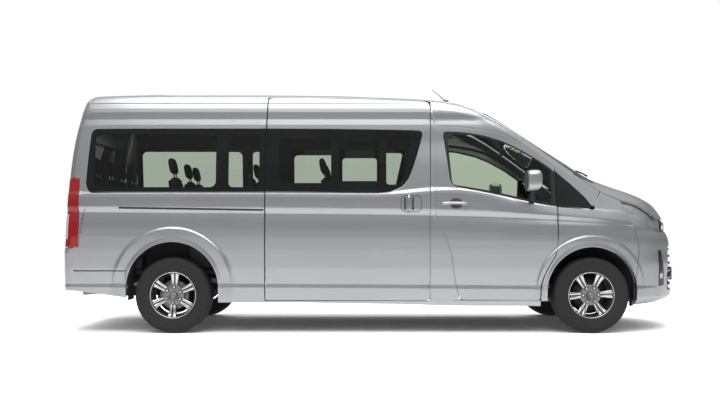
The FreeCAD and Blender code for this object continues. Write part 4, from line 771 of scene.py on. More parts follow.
def coons(low, high, start, end):
    """A grid filling four boundary lines: the straight blends both ways, less the blend of the corners.
    low and high run the same way with as many points, and so do start and end, which join their ends."""
    low, high, start, end = (np.asarray(v, float) for v in (low, high, start, end))
    u = np.linspace(0, 1, low.shape[0])[:, None, None]
    v = np.linspace(0, 1, start.shape[0])[None, :, None]
    across = (1 - v) * low[:, None] + v * high[:, None]
    along_it = (1 - u) * start[None] + u * end[None]
    corners = ((1 - u) * (1 - v) * low[0] + u * (1 - v) * low[-1] + (1 - u) * v * high[0] + u * v * high[-1])
    return across + along_it - corners


def inset(outline, distance, count=400):
    """A closed outline moved inwards by a distance, along the normals of its evenly spaced points."""
    p = along(np.concatenate([outline, outline[:1]]), count + 1)[:-1]
    step = np.roll(p, -1, axis=0) - np.roll(p, 1, axis=0)
    normal = np.stack([-step[:, 1], step[:, 0]], -1) / np.linalg.norm(step, axis=1, keepdims=True)
    area = np.sum(p[:, 0] * np.roll(p[:, 1], -1) - np.roll(p[:, 0], -1) * p[:, 1])
    return p + normal * distance * np.sign(area)


def front_door(side):
    """The front door's painted skin: a frame round the window, open at the front where the glass ends."""
    inner, outer = matched([
        (glass_top, door_top[:60], 110),
        (glass_back, joined(door_top[59:], door_back), 60),
        (glass_low[:6], door_back_low, 70),
        (glass_low[5:31], door_low, 90),
        (glass_low[30:], joined(door_front_low, [(1.629, 1.168)]), 70),
    ])
    flat = between(inner, outer, 80, (0.002, 0.0), 0.4)
    panel("front_door_skin_" + side, flat, side, "front_door_" + side, 0.008)


for hand in SIDES:
    front_door(hand)

# ---------- wings, bonnet, screen and cowl

shut_side = soft_line([(1.8, 1.492), (1.86, 1.455), (1.95, 1.384), (2.08, 1.302), (2.247, 1.229)], 60)
lamp_top_flat = soft_line([(2.247, 1.229), (2.368, 1.2045), (2.464, 1.164), (2.54, 1.124), (2.603, 1.088)], 60)
lamp_back_flat = soft_line([(2.247, 1.224), (2.275, 1.16), (2.312, 1.08), (2.353, 0.982)], 40)


def wing(side):
    """The front wing: from the door seam over the wheel arch to the bumper and headlight."""
    seam = np.array([(1.639, 1.165)] + [tuple(v) for v in (door_front_low[::-1] + [0.0095, 0.0])]
                    + [(1.478, 0.3035)])
    arch = arch_line(FRONT, 0.415, 0.032, 0.3035, 0.3035, 240)[:0:-1]
    arch = arch[:np.argmax((arch[:, 0] > FRONT) & (arch[:, 1] < 0.47))]
    inner, outer = matched([
        (arch[:75], joined([(1.478, 0.3035)], seam[::-1]), 90),
        (arch[74:120], [(1.639, 1.165), (1.965, 1.144)], 60),
        (arch[119:150], joined([(1.965, 1.144)], bend((2.01, 1.145), (1.98, 1.15), (1.985, 1.18)),
                               [(2.06, 1.309)]), 40),
        (arch[149:180], shut_side[np.searchsorted(shut_side[:, 0], 2.06):], 50),
        (arch[179:205], lamp_back_flat, 50),
        (arch[204:], [(2.353, 0.982), (2.392, 0.85), (2.4, 0.78), (2.385, 0.64), (2.3625, 0.47)], 60),
    ])
    flat = between(inner, outer, 56, (0.0, 0.004), 0.4)
    panel("wing_" + side, flat, side)
    low = along([(1.757, 1.3965), (1.896, 1.265), (1.965, 1.174), (1.985, 1.18)], 40)
    high = along(shut_side[:np.searchsorted(shut_side[:, 0], 2.06)], 40)
    panel("wing_tip_" + side, between(low, high, 14, (0.003, 0.004)), side)


for hand in SIDES:
    wing(hand)


def bonnet_skin():
    """The bonnet: from the cowl to the front edge, between the shut lines and the headlights' upper edges."""
    side = joined(from_side(shut_side[12:] + [0.002, 0.004]), from_side(lamp_top_flat[1:] + [0.0, 0.004]))
    across = np.linspace(-1, 1, 90)
    back = np.array([(2.15 - 0.09 * (abs(t) ** 2.2) - 0.105 * (abs(t) ** 8), 0.775 * t) for t in across])
    front = np.stack([2.845 - 0.235 * np.abs(across) ** 2.4, across * 0.745], -1)
    right = along(side[:, :2], 110)
    back[:, 1] *= abs(right[0, 1]) / 0.775
    back[0], back[-1] = right[0], right[0] * [1, -1]
    front[:, 1] *= abs(right[-1, 1]) / 0.745
    front[0], front[-1] = right[-1], right[-1] * [1, -1]
    flat = coons(back, front, right, right * [1, -1])
    painted("bonnet_skin", from_top(flat), "right", (2.1, 0, 0.8), "bonnet")


bonnet_skin()


def screen():
    """The windscreen, from the header to the cowl, with its opaque border."""
    head = 1.012
    right = edge_line(head + 0.03, 1.985, 120)
    right = right + [0, 0.012, 0]
    top = np.array([(head + 0.035 * abs(t) ** 3, 0.7 * t) for t in np.linspace(-1, 1, 80)])
    foot = np.array([(2.135 - 0.15 * abs(t) ** 2.6, 0.78 * t) for t in np.linspace(-1, 1, 80)])
    line = along(right[:, :2], 120)
    top[:, 1] *= abs(line[0, 1]) / 0.7
    foot[:, 1] *= abs(line[-1, 1]) / 0.78
    top[0], top[-1] = line[0], line[0] * [1, -1]
    foot[0], foot[-1] = line[-1], line[-1] * [1, -1]
    flat = coons(top, foot, line, line * [1, -1])
    points = from_top(flat)
    lowered = points - outward(points) * 0.003
    surface("windscreen_pane", lowered[5:-5, 6:-9], FRONT_PANE, "body", away=(0.5, 0, 0.8))
    quads = quad_grid(*lowered.shape[:2])
    keep = np.ones(quads.shape[:2], bool)
    keep[5:-5, 6:-9] = False
    build("windscreen_border", [(lowered.reshape(-1, 3), quads[keep][:, ::-1])], FRIT, "body")


screen()

# ---------- panels of several grids


def grid_quads(points):
    """A grid's quads, turned so that they face out of the body's skin."""
    quads = quad_grid(*points.shape[:2]).reshape(-1, 4)
    normal, middle = face_sums(points.reshape(-1, 3), quads)
    return quads if np.sum(normal * outward(middle)) > 0 else quads[:, ::-1]


def rolled(grids, radius=0.0025, depth=0.018, lift=0.0, holes=()):
    """Grids on the skin that share edge points, welded into one sheet whose open edges roll under: a quarter
    circle of a radius, then straight in by a depth. holes: for each grid, the quads left out."""
    points, quads, start = [], [], 0
    for k, grid in enumerate(grids):
        q = grid_quads(grid)
        if k < len(holes) and holes[k] is not None:
            rows, cols = grid.shape[:2]
            q = q.reshape(rows - 1, cols - 1, 4)[~holes[k]]
        points.append(grid.reshape(-1, 3))
        quads.append(q + start)
        start += grid.shape[0] * grid.shape[1]
    points, quads = np.concatenate(points), np.concatenate(quads)
    _, first, back = np.unique(np.round(points / 5e-5).astype(np.int64), axis=0, return_index=True,
                               return_inverse=True)
    points, quads = points[first], back.reshape(-1)[quads]
    used = np.unique(quads)
    renumber = np.zeros(len(points), int)
    renumber[used] = np.arange(len(used))
    points, quads = points[used], renumber[quads]
    normals = outward(points)
    points = points + normals * lift
    edges = np.concatenate([quads[:, [k, (k + 1) % 4]] for k in range(4)])
    edges = edges[edges[:, 0] != edges[:, 1]]
    key = np.sort(edges, axis=1)
    _, which, counts = np.unique(key, axis=0, return_inverse=True, return_counts=True)
    rim = edges[counts[which.reshape(-1)] == 1]
    side = np.cross(points[rim[:, 1]] - points[rim[:, 0]], normals[rim[:, 0]])
    side /= np.maximum(np.linalg.norm(side, axis=1, keepdims=True), 1e-9)
    away = np.zeros_like(points)
    np.add.at(away, rim[:, 0], side)
    np.add.at(away, rim[:, 1], side)
    ids = np.unique(rim)
    length = np.linalg.norm(away[ids], axis=1, keepdims=True)
    out = away[ids] / np.maximum(length, 1e-9)
    slot_of = np.zeros(len(points), int)
    slot_of[ids] = np.arange(len(ids))
    sheets, strips, last, count = [points], [quads], ids, len(points)
    for angle, more in ((0.5, 0), (1.0, 0), (1.5708, 0), (1.5708, depth)):
        row = (points[ids] + out * radius * math.sin(angle)
               - normals[ids] * (radius * (1 - math.cos(angle)) + more))
        fresh = count + np.arange(len(ids))
        a, b = slot_of[rim[:, 0]], slot_of[rim[:, 1]]
        strips.append(np.stack([last[b], last[a], fresh[a], fresh[b]], -1))
        sheets.append(row)
        last, count = fresh, count + len(ids)
    return np.concatenate(sheets), np.concatenate(strips)


def skin_panel(name, grids, material, rides, slot, side="right", **how):
    """A rolled panel as an object, mirrored for the left side."""
    points, quads = rolled(grids, **how)
    build(name, [(mirrored(points, side), turned_over(quads, side))], material, rides)


def fan(middle, sign):
    """A way of placing (angle, z) points on the skin: level rays from an upright axis inside the body, the angle
    turning from straight ahead (or straight back) towards the right."""
    def place(flat):
        flat = np.asarray(flat, float)
        start = np.stack([np.full(flat.shape[:-1], middle), np.zeros(flat.shape[:-1]), flat[..., 1]], -1)
        way = np.stack([sign * np.cos(flat[..., 0]), -np.sin(flat[..., 0]), np.zeros(flat.shape[:-1])], -1)
        return beam(start, way)
    return place


NOSE_AXIS = (1.6, 1)                         # station of an upright axis, and which way is straight out
TAIL_AXIS = (-2.2, -1)
from_nose, from_tail = fan(*NOSE_AXIS), fan(*TAIL_AXIS)


def turned(points, middle, sign):
    """Side-view (x, z) points on the right side as (angle, z) about an upright axis."""
    p = from_side(points)
    return np.stack([np.arctan2(-p[:, 1], sign * (p[:, 0] - middle)), p[:, 2]], -1)


def angle_at(y, z, middle, sign):
    """The angles about an upright axis at which the skin, at each height, is y from the middle plane."""
    z = np.atleast_1d(np.asarray(z, float))
    low, high = np.zeros_like(z), np.full_like(z, 1.25)
    place = fan(middle, sign)
    for _ in range(15):
        mid = (low + high) / 2
        short = -place(np.stack([mid, z], -1))[:, 1] < y
        low, high = np.where(short, mid, low), np.where(short, high, mid)
    return low


# ---------- nose: bumper, headlights and grilles


def nose():
    """The bumper, one sheet round the nose with the intake's opening, and what fills the openings."""
    wing_side = turned(soft_line([(2.359, 0.979), (2.398, 0.85), (2.406, 0.78), (2.391, 0.64),
                                  (2.3685, 0.47)], 30), *NOSE_AXIS)
    leg = turned(along([(2.3685, 0.47), (2.3685, 0.262)], 12)[1:], *NOSE_AXIS)
    lower = along([(leg[-1, 0], 0.262), (-leg[-1, 0], 0.262)], 120)
    lamp_low = turned(soft_line([(2.359, 0.979), (2.416, 0.974), (2.511, 0.963), (2.607, 0.94), (2.67, 0.922)],
                                30),
                      *NOSE_AXIS)
    corner = angle_at(0.5, 0.935, *NOSE_AXIS)[0]
    top = joined(lamp_low, along([(lamp_low[-1, 0], 0.922), (corner, 0.933), (0.0, 0.94)], 60)[1:])
    top = joined(top, (top * [-1, 1])[::-1][1:])
    outline = joined(wing_side, leg, lower[1:], (joined(wing_side, leg) * [-1, 1])[::-1][1:], (top[::-1])[1:-1])
    wide, narrow = angle_at(0.585, 0.45, *NOSE_AXIS)[0], angle_at(0.5, 0.78, *NOSE_AXIS)[0]
    mouth = rounded([(wide, 0.375, 0.03), (wide * 1.02, 0.5, 0.05), (narrow, 0.8, 0.05), (-narrow, 0.8, 0.05),
                     (-wide * 1.02, 0.5, 0.05), (-wide, 0.375, 0.03)])
    flat = ring(mouth, outline, (0.0, 0.59), 420, 60, 0.4)
    skin_panel("front_bumper_skin", [from_nose(flat)], PAINT, "body", "paint", depth=0.03)

    # intake: a dark tray with level slats
    surface("intake_back", sunk_grid(disc(mouth, (0.0, 0.59), 160, 20), 0.022, from_nose), BLACK_PLASTIC, "body",
            away=(2.0, 0, 0.6))
    slats = []
    for z in np.linspace(0.425, 0.76, 6):
        reach = np.interp(z, [0.375, 0.5, 0.8], [wide, wide * 1.02, narrow]) - 0.006
        line = from_nose(np.stack([np.linspace(-reach, reach, 70), np.full(70, z)], -1))
        n = outward(line)
        n[:, 2] = 0
        section = [(-0.021, 0.014), (-0.006, 0.016), (-0.001, 0.01), (-0.001, 0.0), (-0.006, -0.008),
                   (-0.021, -0.01)]
        grid = np.stack([line + n * a + np.array([0, 0, b]) for a, b in section])
        slats.append((grid.reshape(-1, 3), grid_quads(grid)))
    build("intake_slats", slats, GLOSS_BLACK, "body")

    # headlights, from the wing round to the grille
    for side in SIDES:
        rough_top = from_side(lamp_top_flat + [0.002, -0.003])
        inner_top = along([(2.603, 1.085), (2.69, 1.0755), (2.76, 1.066)], 30)
        ahead = np.stack([inner_top[:, 0], np.interp(inner_top[:, 0], [2.603, 2.69, 2.76], [-0.745, -0.66, -0.5]),
                          inner_top[:, 1]], -1)
        ahead[0] = rough_top[-1]
        high = press(along(joined(rough_top, ahead[1:]), 90))
        low_line = joined(lamp_low, [(corner, 0.933)])
        low = from_nose(along(low_line, 90) + [0.0, 0.005])
        back = from_side(lamp_back_flat + [0.003, 0.0])
        back = along(back, 24)
        high[0], low[0] = back[0], back[-1]
        end = press(along(joined(high[-1:], low[-1:]), 24))
        end[0], end[-1] = high[-1], low[-1]
        lens = press(coons(high, low, back, end))
        skin_panel("headlight_lens_" + side, [lens], LENS, "body", "lamp_lens", side, lift=-0.001, radius=0.002,
                   depth=0.01)
        surface("headlight_bowl_" + side, mirrored(lens - outward(lens) * 0.03, side), BOWL, "body",
                away=(1.8, 0, 0.9))

    # the slim upper grille between the headlights
    y = np.linspace(-0.495, 0.495, 90)
    above = from_top(np.stack([2.838 - 0.235 * np.abs(y / 0.745) ** 2.4 + 0.004, y], -1))
    above = above - np.array([0, 0, 0.006])
    below = from_nose(np.stack([np.linspace(corner, -corner, 90), np.full(90, 0.945)], -1))
    field = press(between(above, below, 16))
    surface("upper_grille_field", field - outward(field) * 0.012, GLOSS_BLACK, "body",
            away=(2.0, 0, 0.9))
    bars = []
    for share in (0.3, 0.68):
        middle = press(above * (1 - share) + below * share)
        n = outward(middle)
        up = np.cross(n, np.gradient(middle, axis=0))
        up /= np.linalg.norm(up, axis=1, keepdims=True)
        up *= np.sign(up[:, 2:])
        section = [(-0.012, 0.009), (0.001, 0.008), (0.004, 0.0), (0.001, -0.008), (-0.012, -0.009)]
        grid = np.stack([middle + n * a + up * b for a, b in section])
        bars.append((grid.reshape(-1, 3), grid_quads(grid)))
    build("upper_grille_bars", bars, CHROME, "body")


nose()

# ---------- tail: gate, lamps and bumper


def flat_strip(start, end, z, shares):
    """Points at given shares of the way from start to end, at each height."""
    across = start[:, None] + (end - start)[:, None] * shares[None]
    return np.stack([across, np.broadcast_to(z[:, None], across.shape)], -1)


def tail():
    """The tailgate with its bonded window, the lamps round the corners, and the bumper."""
    z_low = np.linspace(0.757, 1.44, 50)
    z_high = np.linspace(1.44, 2.12, 50)
    inner_low = angle_at(0.793, z_low, *TAIL_AXIS)
    lamp_angle = inner_low[-1]
    seam = soft_line([(-2.849, 1.44), (-2.83, 1.69), (-2.793, 1.902), (-2.756, 2.06), (-2.742, 2.12)], 50)
    seam = turned(seam, *TAIL_AXIS)
    outer_high = np.interp(z_high, seam[:, 1], seam[:, 0])
    window = angle_at(0.655, 1.6, *TAIL_AXIS)[0]
    share = np.concatenate([np.linspace(-1, -0.9, 7)[:-1], np.linspace(-0.9, 0.9, 72),
                            np.linspace(0.9, 1, 7)[1:]])
    share = np.unique(np.round(np.concatenate([share, [-window / lamp_angle, window / lamp_angle]]), 6))
    low = np.stack([share[None] * inner_low[:, None], np.broadcast_to(z_low[:, None], (50, len(share)))], -1)
    inner = share * lamp_angle
    extra = np.linspace(0, 1, 12)[1:]
    rows = []
    for z, edge in zip(z_high, outer_high):
        right = lamp_angle + (edge - lamp_angle) * extra
        rows.append(np.concatenate([-right[::-1], inner, right]))
    high = np.stack([np.array(rows), np.broadcast_to(z_high[:, None], (50, len(rows[0])))], -1)
    low_grid, high_grid = from_tail(low), from_tail(high)
    columns = len(rows[0])
    corner_y = edge_line(-2.705, -2.69, 2)[0, 1]
    over = from_top(np.stack([np.full(columns, -2.712),
                              high_grid[-1, :, 1] * abs(corner_y) / abs(high_grid[-1, 0, 1])], -1))
    crown = press(between(high_grid[-1], over, 12))
    crown[0] = high_grid[-1]
    upper = np.concatenate([high_grid, crown[1:]])
    hole_cols = (np.abs(inner) < window + 1e-4)
    first = 11 + int(np.argmax(hole_cols))
    last = 11 + len(inner) - 1 - int(np.argmax(hole_cols[::-1]))
    hole = np.zeros((upper.shape[0] - 1, upper.shape[1] - 1), bool)
    hole[: int(np.searchsorted(z_high, 1.835)), first:last] = True
    low_hole = np.zeros((49, len(share) - 1), bool)
    low_hole[int(np.searchsorted(z_low, 1.395)):, first - 11:last - 11] = True
    skin_panel("tailgate_skin", [low_grid, upper], PAINT, "tailgate", "paint", depth=0.016,
               holes=(low_hole, hole))
    glass = rounded([(window + 0.035, 1.362, 0.03), (window + 0.01, 1.87, 0.04), (-window - 0.01, 1.87, 0.04),
                     (-window - 0.035, 1.362, 0.03)])
    clear = rounded([(window - 0.012, 1.415, 0.03), (window - 0.03, 1.815, 0.03), (-window + 0.03, 1.815, 0.03),
                     (-window + 0.012, 1.415, 0.03)])
    skin_panel("tailgate_glass_border", [from_tail(ring(clear, glass, (0.0, 1.61), 240, 10))], FRIT, "tailgate",
               "dark_glass", lift=0.003, radius=0.002,
               depth=0.003)
    surface("tailgate_pane", sunk_grid(disc(clear, (0.0, 1.61), 160, 12), -0.0028, from_tail), DARK_PANE,
            "tailgate",
            away=(-2.0, 0, 1.6))

    for side in SIDES:
        z = np.linspace(0.797, 1.43, 60)
        side_line = turned(np.stack([np.interp(z, [0.79, 1.05, 1.436], [-2.779, -2.782, -2.7865]), z], -1),
                           *TAIL_AXIS)
        inside = angle_at(0.805, z, *TAIL_AXIS)
        flat = flat_strip(side_line[:, 0], inside, z, np.linspace(0, 1, 26))
        skin_panel("tail_lamp_lens_" + side, [from_tail(flat)], RED_LENS, "body", "red_lens", side, lift=0.002,
                   radius=0.004, depth=0.03)
        strip = flat_strip(side_line[7:29, 0], inside[7:29], z[7:29], np.linspace(0.46, 0.89, 14))
        skin_panel("reversing_lens_" + side, [from_tail(strip)], CLEAR_LENS, "body", "red_lens", side,
                   lift=0.0045,
                   radius=0.002, depth=0.004)

    # bumper: a side run from each arch, and the wrap across the tail with its raised corners
    z_a, z_b, z_c = np.linspace(0.398, 0.573, 24), np.linspace(0.573, 0.748, 20), np.linspace(0.748, 0.786, 7)
    x_edge = -2.824
    edge, edge_b, edge_c = (turned(np.stack([np.full(len(z), x_edge), z], -1), *TAIL_AXIS)[:, 0]
                            for z in (z_a, z_b, z_c))
    inner_c = angle_at(0.805, z_c, *TAIL_AXIS)
    step = np.linspace(0, 1, 14)
    grids = []
    z_all, edge_all = np.concatenate([z_a, z_b[1:]]), np.concatenate([edge, edge_b[1:]])
    rows = []
    for e in edge_all:
        right = inner_c[0] + (e - inner_c[0]) * step[1:]
        rows.append(np.concatenate([-right[::-1], np.linspace(-inner_c[0], inner_c[0], 60), right]))
    wrap = np.stack([np.array(rows), np.broadcast_to(z_all[:, None], (len(z_all), len(rows[0])))], -1)
    grids.append(from_tail(wrap))
    for sign in (1, -1):
        horn = np.stack([sign * (inner_c[:, None] + (edge_c - inner_c)[:, None] * step[None]),
                         np.broadcast_to(z_c[:, None], (7, 14))], -1)
        grids.append(from_tail(horn))
        x = np.linspace(x_edge, -2.3415, 50)
        low_z = np.interp(x, [x_edge, -2.3415], [0.398, 0.336])
        flat = np.stack([np.broadcast_to(x[None], (24, 50)),
                         low_z[None] + (0.573 - low_z[None]) * ((z_a - 0.398) / 0.175)[:, None]], -1)
        grids.append(from_side(flat) * [1, sign, 1])
    skin_panel("rear_bumper_skin", grids, PAINT, "body", "paint", depth=0.03)
    tread = from_tail(np.stack([np.broadcast_to(np.linspace(-0.3, 0.3, 60)[None], (6, 60)),
                                np.broadcast_to(np.linspace(0.735, 0.749, 6)[:, None], (6, 60))], -1))
    surface("bumper_step_pad", tread + outward(tread) * 0.003, BLACK_PLASTIC, "body",
            away=(-2, 0, 0.6))


tail()

# ---------- side glass, seals and lining


def pane_outline(x0, low, high, z0, z1, radius):
    """A side pane: a rounded four-sided outline whose front edge may lean."""
    return rounded([(x0, z0, radius), (low, z0, radius), (high, z1, radius), (x0, z1, radius)])


rear_outline = joined(band_rear_low, band_rear_corner, band_rear_back, band_rear_top_corner, band_rear_top)
slide_outline = joined(band_slide_low, band_slide_front, band_slide_top_corner, band_slide_top)


def clipped(outline, x0, x1):
    """A closed outline cut down to what lies between two stations."""
    dense = along(np.concatenate([outline, outline[:1]]), 2400)[:-1]
    kept = dense[(dense[:, 0] >= x0) & (dense[:, 0] <= x1)]
    middle = kept.mean(axis=0)
    ends = []
    for x in (x0, x1):
        near = dense[np.abs(dense[:, 0] - x) < 0.004]
        if len(near) > 1:
            ends += [(x, near[:, 1].min()), (x, near[:, 1].max())]
    if ends:
        kept = np.concatenate([kept, np.array(ends)])
    angle = np.arctan2(kept[:, 1] - middle[1], kept[:, 0] - middle[0])
    return kept[np.argsort(angle)]


# band, its cell's two stations, and the pane in it: rear edge, front edge below and above, foot, head and
# corner radius
PANES = [
    (rear_outline, -2.8, -1.458, (-2.64, -1.517, -1.517, 1.349, 1.84, 0.055)),
    (rear_outline, -1.458, -1.06, (-1.399, -1.117, -1.117, 1.349, 1.84, 0.04)),
    (slide_outline, -1.07, -0.42, (-0.93, -0.454, -0.454, 1.387, 1.803, 0.045)),
    (slide_outline, -0.42, 0.0285, (-0.386, 0.004, 0.004, 1.405, 1.77, 0.035)),
    (slide_outline, 0.0285, 0.6, (0.056, 0.198, 0.296, 1.372, 1.827, 0.028)),
]


def side_glass(side):
    """The dark glass bands: opaque borders round clear-cut dark panes, and the pane's black rubber edges."""
    borders, panes = [], []
    for outline, x0, x1, pane_sizes in PANES:
        clear = pane_outline(*pane_sizes)
        centre = clear.mean(axis=0)
        flat = ring(clear, clipped(outline, x0, x1), centre, 300, 9)
        borders.append(hand_over(sunk_grid(flat, 0.003), side))
        panes.append(hand_over(sunk_grid(disc(clear, centre, 120, 10), 0.0045), side))
    build("band_border_" + side, borders, FRIT, "body")
    build("band_panes_" + side, panes, DARK_PANE, "body")
    quarter = rounded([(1.6365, 1.489, 0.006), (1.762, 1.392, 0.02), (1.896, 1.262, 0.03), (1.964, 1.15, 0.016),
                       (1.6365, 1.172, 0.006)])
    grid = sunk_grid(disc(quarter, (1.74, 1.27), 160, 14), 0.003)
    surface("quarter_glass_" + side, mirrored(grid, side), FRIT, "body", away=(1.7, 0, 1.2))

    door = "front_door_" + side
    frame_line = joined(glass_top[::-1], [(1.625, 1.5), (1.625, 1.174)], glass_low[::-1], glass_back[::-1])
    clear = rounded([(1.585, 1.205, 0.015), (1.585, 1.508, 0.02), (1.431, 1.616, 0.2), (1.274, 1.706, 0.2),
                     (1.113, 1.774, 0.2), (0.9, 1.827, 0.2), (0.62, 1.85, 0.035), (0.664, 1.374, 0.04),
                     (1.0, 1.319, 0.2), (1.311, 1.251, 0.2)])
    centre = (1.1, 1.5)
    for name, flat, depth, finish in (("door_glass_border_", ring(clear, frame_line, centre, 300, 6), 0.0035,
                                       SEAL),
                                      ("door_pane_", disc(clear, centre, 200, 16), 0.006, FRONT_PANE)):
        surface(name + side, mirrored(sunk_grid(flat, depth), side), finish, door,
                away=(1.1, 0, 1.2))


for hand in SIDES:
    side_glass(hand)


def seal_line(name, points, side, width=0.03, depth=0.016):
    """A black strip behind a shut line, given as a side-view line."""
    line = along(points, 160)
    step = np.gradient(line, axis=0)
    across = np.stack([-step[:, 1], step[:, 0]], -1) / np.linalg.norm(step, axis=1, keepdims=True)
    flat = line[None] + across[None] * np.linspace(-width / 2, width / 2, 3)[:, None, None]
    surface(name, mirrored(sunk_grid(flat, depth), side), SEAL, "body", away=(0, 0, 1.0))


SEAL_LINES = [
    ("slide_rear", [(SLIDE_BACK, 0.31), (SLIDE_BACK, 1.295), (SLIDE_BACK + 0.024, 2.17)]),
    ("slide_head", [(SLIDE_BACK + 0.024, 2.17), (-0.98, 2.203), (0.0, 2.19), (0.46, 2.165)]),
    ("slide_front", [(SLIDE_FRONT, 0.31), (SLIDE_FRONT, 1.09), (0.47, 2.16)]),
    ("door_rear", joined([(0.528, 1.9), (0.5195, 1.091)], door_back_low)),
    ("door_foot", [(0.735, 0.318), (1.46, 0.318)]),
    ("door_front", joined(door_front_low, [(1.632, 1.2), (1.632, 1.53)])),
    ("door_head", door_top + [0.0, 0.004]),
]


def lining(side):
    """The cabin side's inner trim, a little inside the skin and open behind each pane, from the rear pillar to
    the front doors."""
    x = np.unique(np.round(np.concatenate([np.linspace(-2.7, 0.45, 64), [p[3][0] - 0.02 for p in PANES],
                                           [p[3][2] + 0.02 for p in PANES]]), 4))
    z = np.unique(np.round(np.concatenate([np.linspace(0.56, 2.1, 34), [1.335, 1.86]]), 4))
    flat = np.stack(np.broadcast_arrays(x[:, None], z[None]), -1)
    grid = sunk_grid(flat, 0.04)
    middle_x, middle_z = (x[1:] + x[:-1]) / 2, (z[1:] + z[:-1]) / 2
    gone = np.zeros((len(x) - 1, len(z) - 1), bool)
    for x0, x1 in ((sizes[0], sizes[2]) for *_, sizes in PANES):
        beside = (middle_x > x0 - 0.021) & (middle_x < x1 + 0.021)
        gone |= beside[:, None] & ((middle_z > 1.335) & (middle_z < 1.86))[None]
    gone |= np.hypot(middle_x[:, None] - REAR, np.maximum(middle_z[None] - WHEEL_Z - 0.069, 0)) < 0.52
    quads = grid_quads(grid).reshape(len(x) - 1, len(z) - 1, 4)[~gone][:, ::-1]
    build("side_lining_" + side, [(mirrored(grid.reshape(-1, 3), side), turned_over(quads, side))], TRIM, "body")


for hand in SIDES:
    for label, points in SEAL_LINES:
        seal_line("seal_%s_%s" % (label, hand), points, hand)
    lining(hand)


def headlining():
    """The roof lining, a shallow shell inside the roof from the windscreen header to the tailgate."""
    x = np.linspace(-2.66, 0.98, 60)
    y = np.linspace(-0.84, 0.84, 34)
    grid = sunk_grid(np.stack(np.broadcast_arrays(x[:, None], y[None]), -1), 0.055, from_top)
    build("headlining", [(grid.reshape(-1, 3), grid_quads(grid)[:, ::-1])], LINING, "body")


headlining()

# ---------- wheels

WHEELS = [("front_right", FRONT, -1, 0.05), ("front_left", FRONT, 1, 0.05), ("rear_right", REAR, -1, 0.45),
          ("rear_left", REAR, 1, 0.45)]


def lathe(profile, x, side, count=128):
    """A (radius, outward) profile turned about a wheel's axis: x + r cos a, z + r sin a, and w further out."""
    r, w = np.array(profile, float).T
    angle = np.arange(count) / count * 2 * math.pi
    return np.stack(np.broadcast_arrays(x + r[:, None] * np.cos(angle), side * (WHEEL_Y + w)[:, None],
                                        WHEEL_Z + r[:, None] * np.sin(angle)), -1)


def turned_piece(name, profile, x, side, material, rides, count=128):
    """A closed profile turned about a wheel's axis."""
    return surface(name, lathe(profile, x, side, count), material, rides, wrap=(True, True))


TYRE_HALF = [(0.3515, 0.0), (0.3515, 0.012), (0.3445, 0.014), (0.3445, 0.021), (0.3515, 0.023), (0.3512, 0.05),
             (0.344, 0.052), (0.344, 0.06), (0.3505, 0.062), (0.349, 0.078), (0.345, 0.092), (0.337, 0.103),
             (0.325, 0.1105), (0.31, 0.115), (0.296, 0.117), (0.295, 0.1158), (0.28, 0.1165), (0.262, 0.114),
             (0.245, 0.1095), (0.23, 0.103), (0.219, 0.0975), (0.216, 0.096), (0.213, 0.09), (0.2045, 0.088)]


NUT_RING = 0.071                             # from the axle to each nut


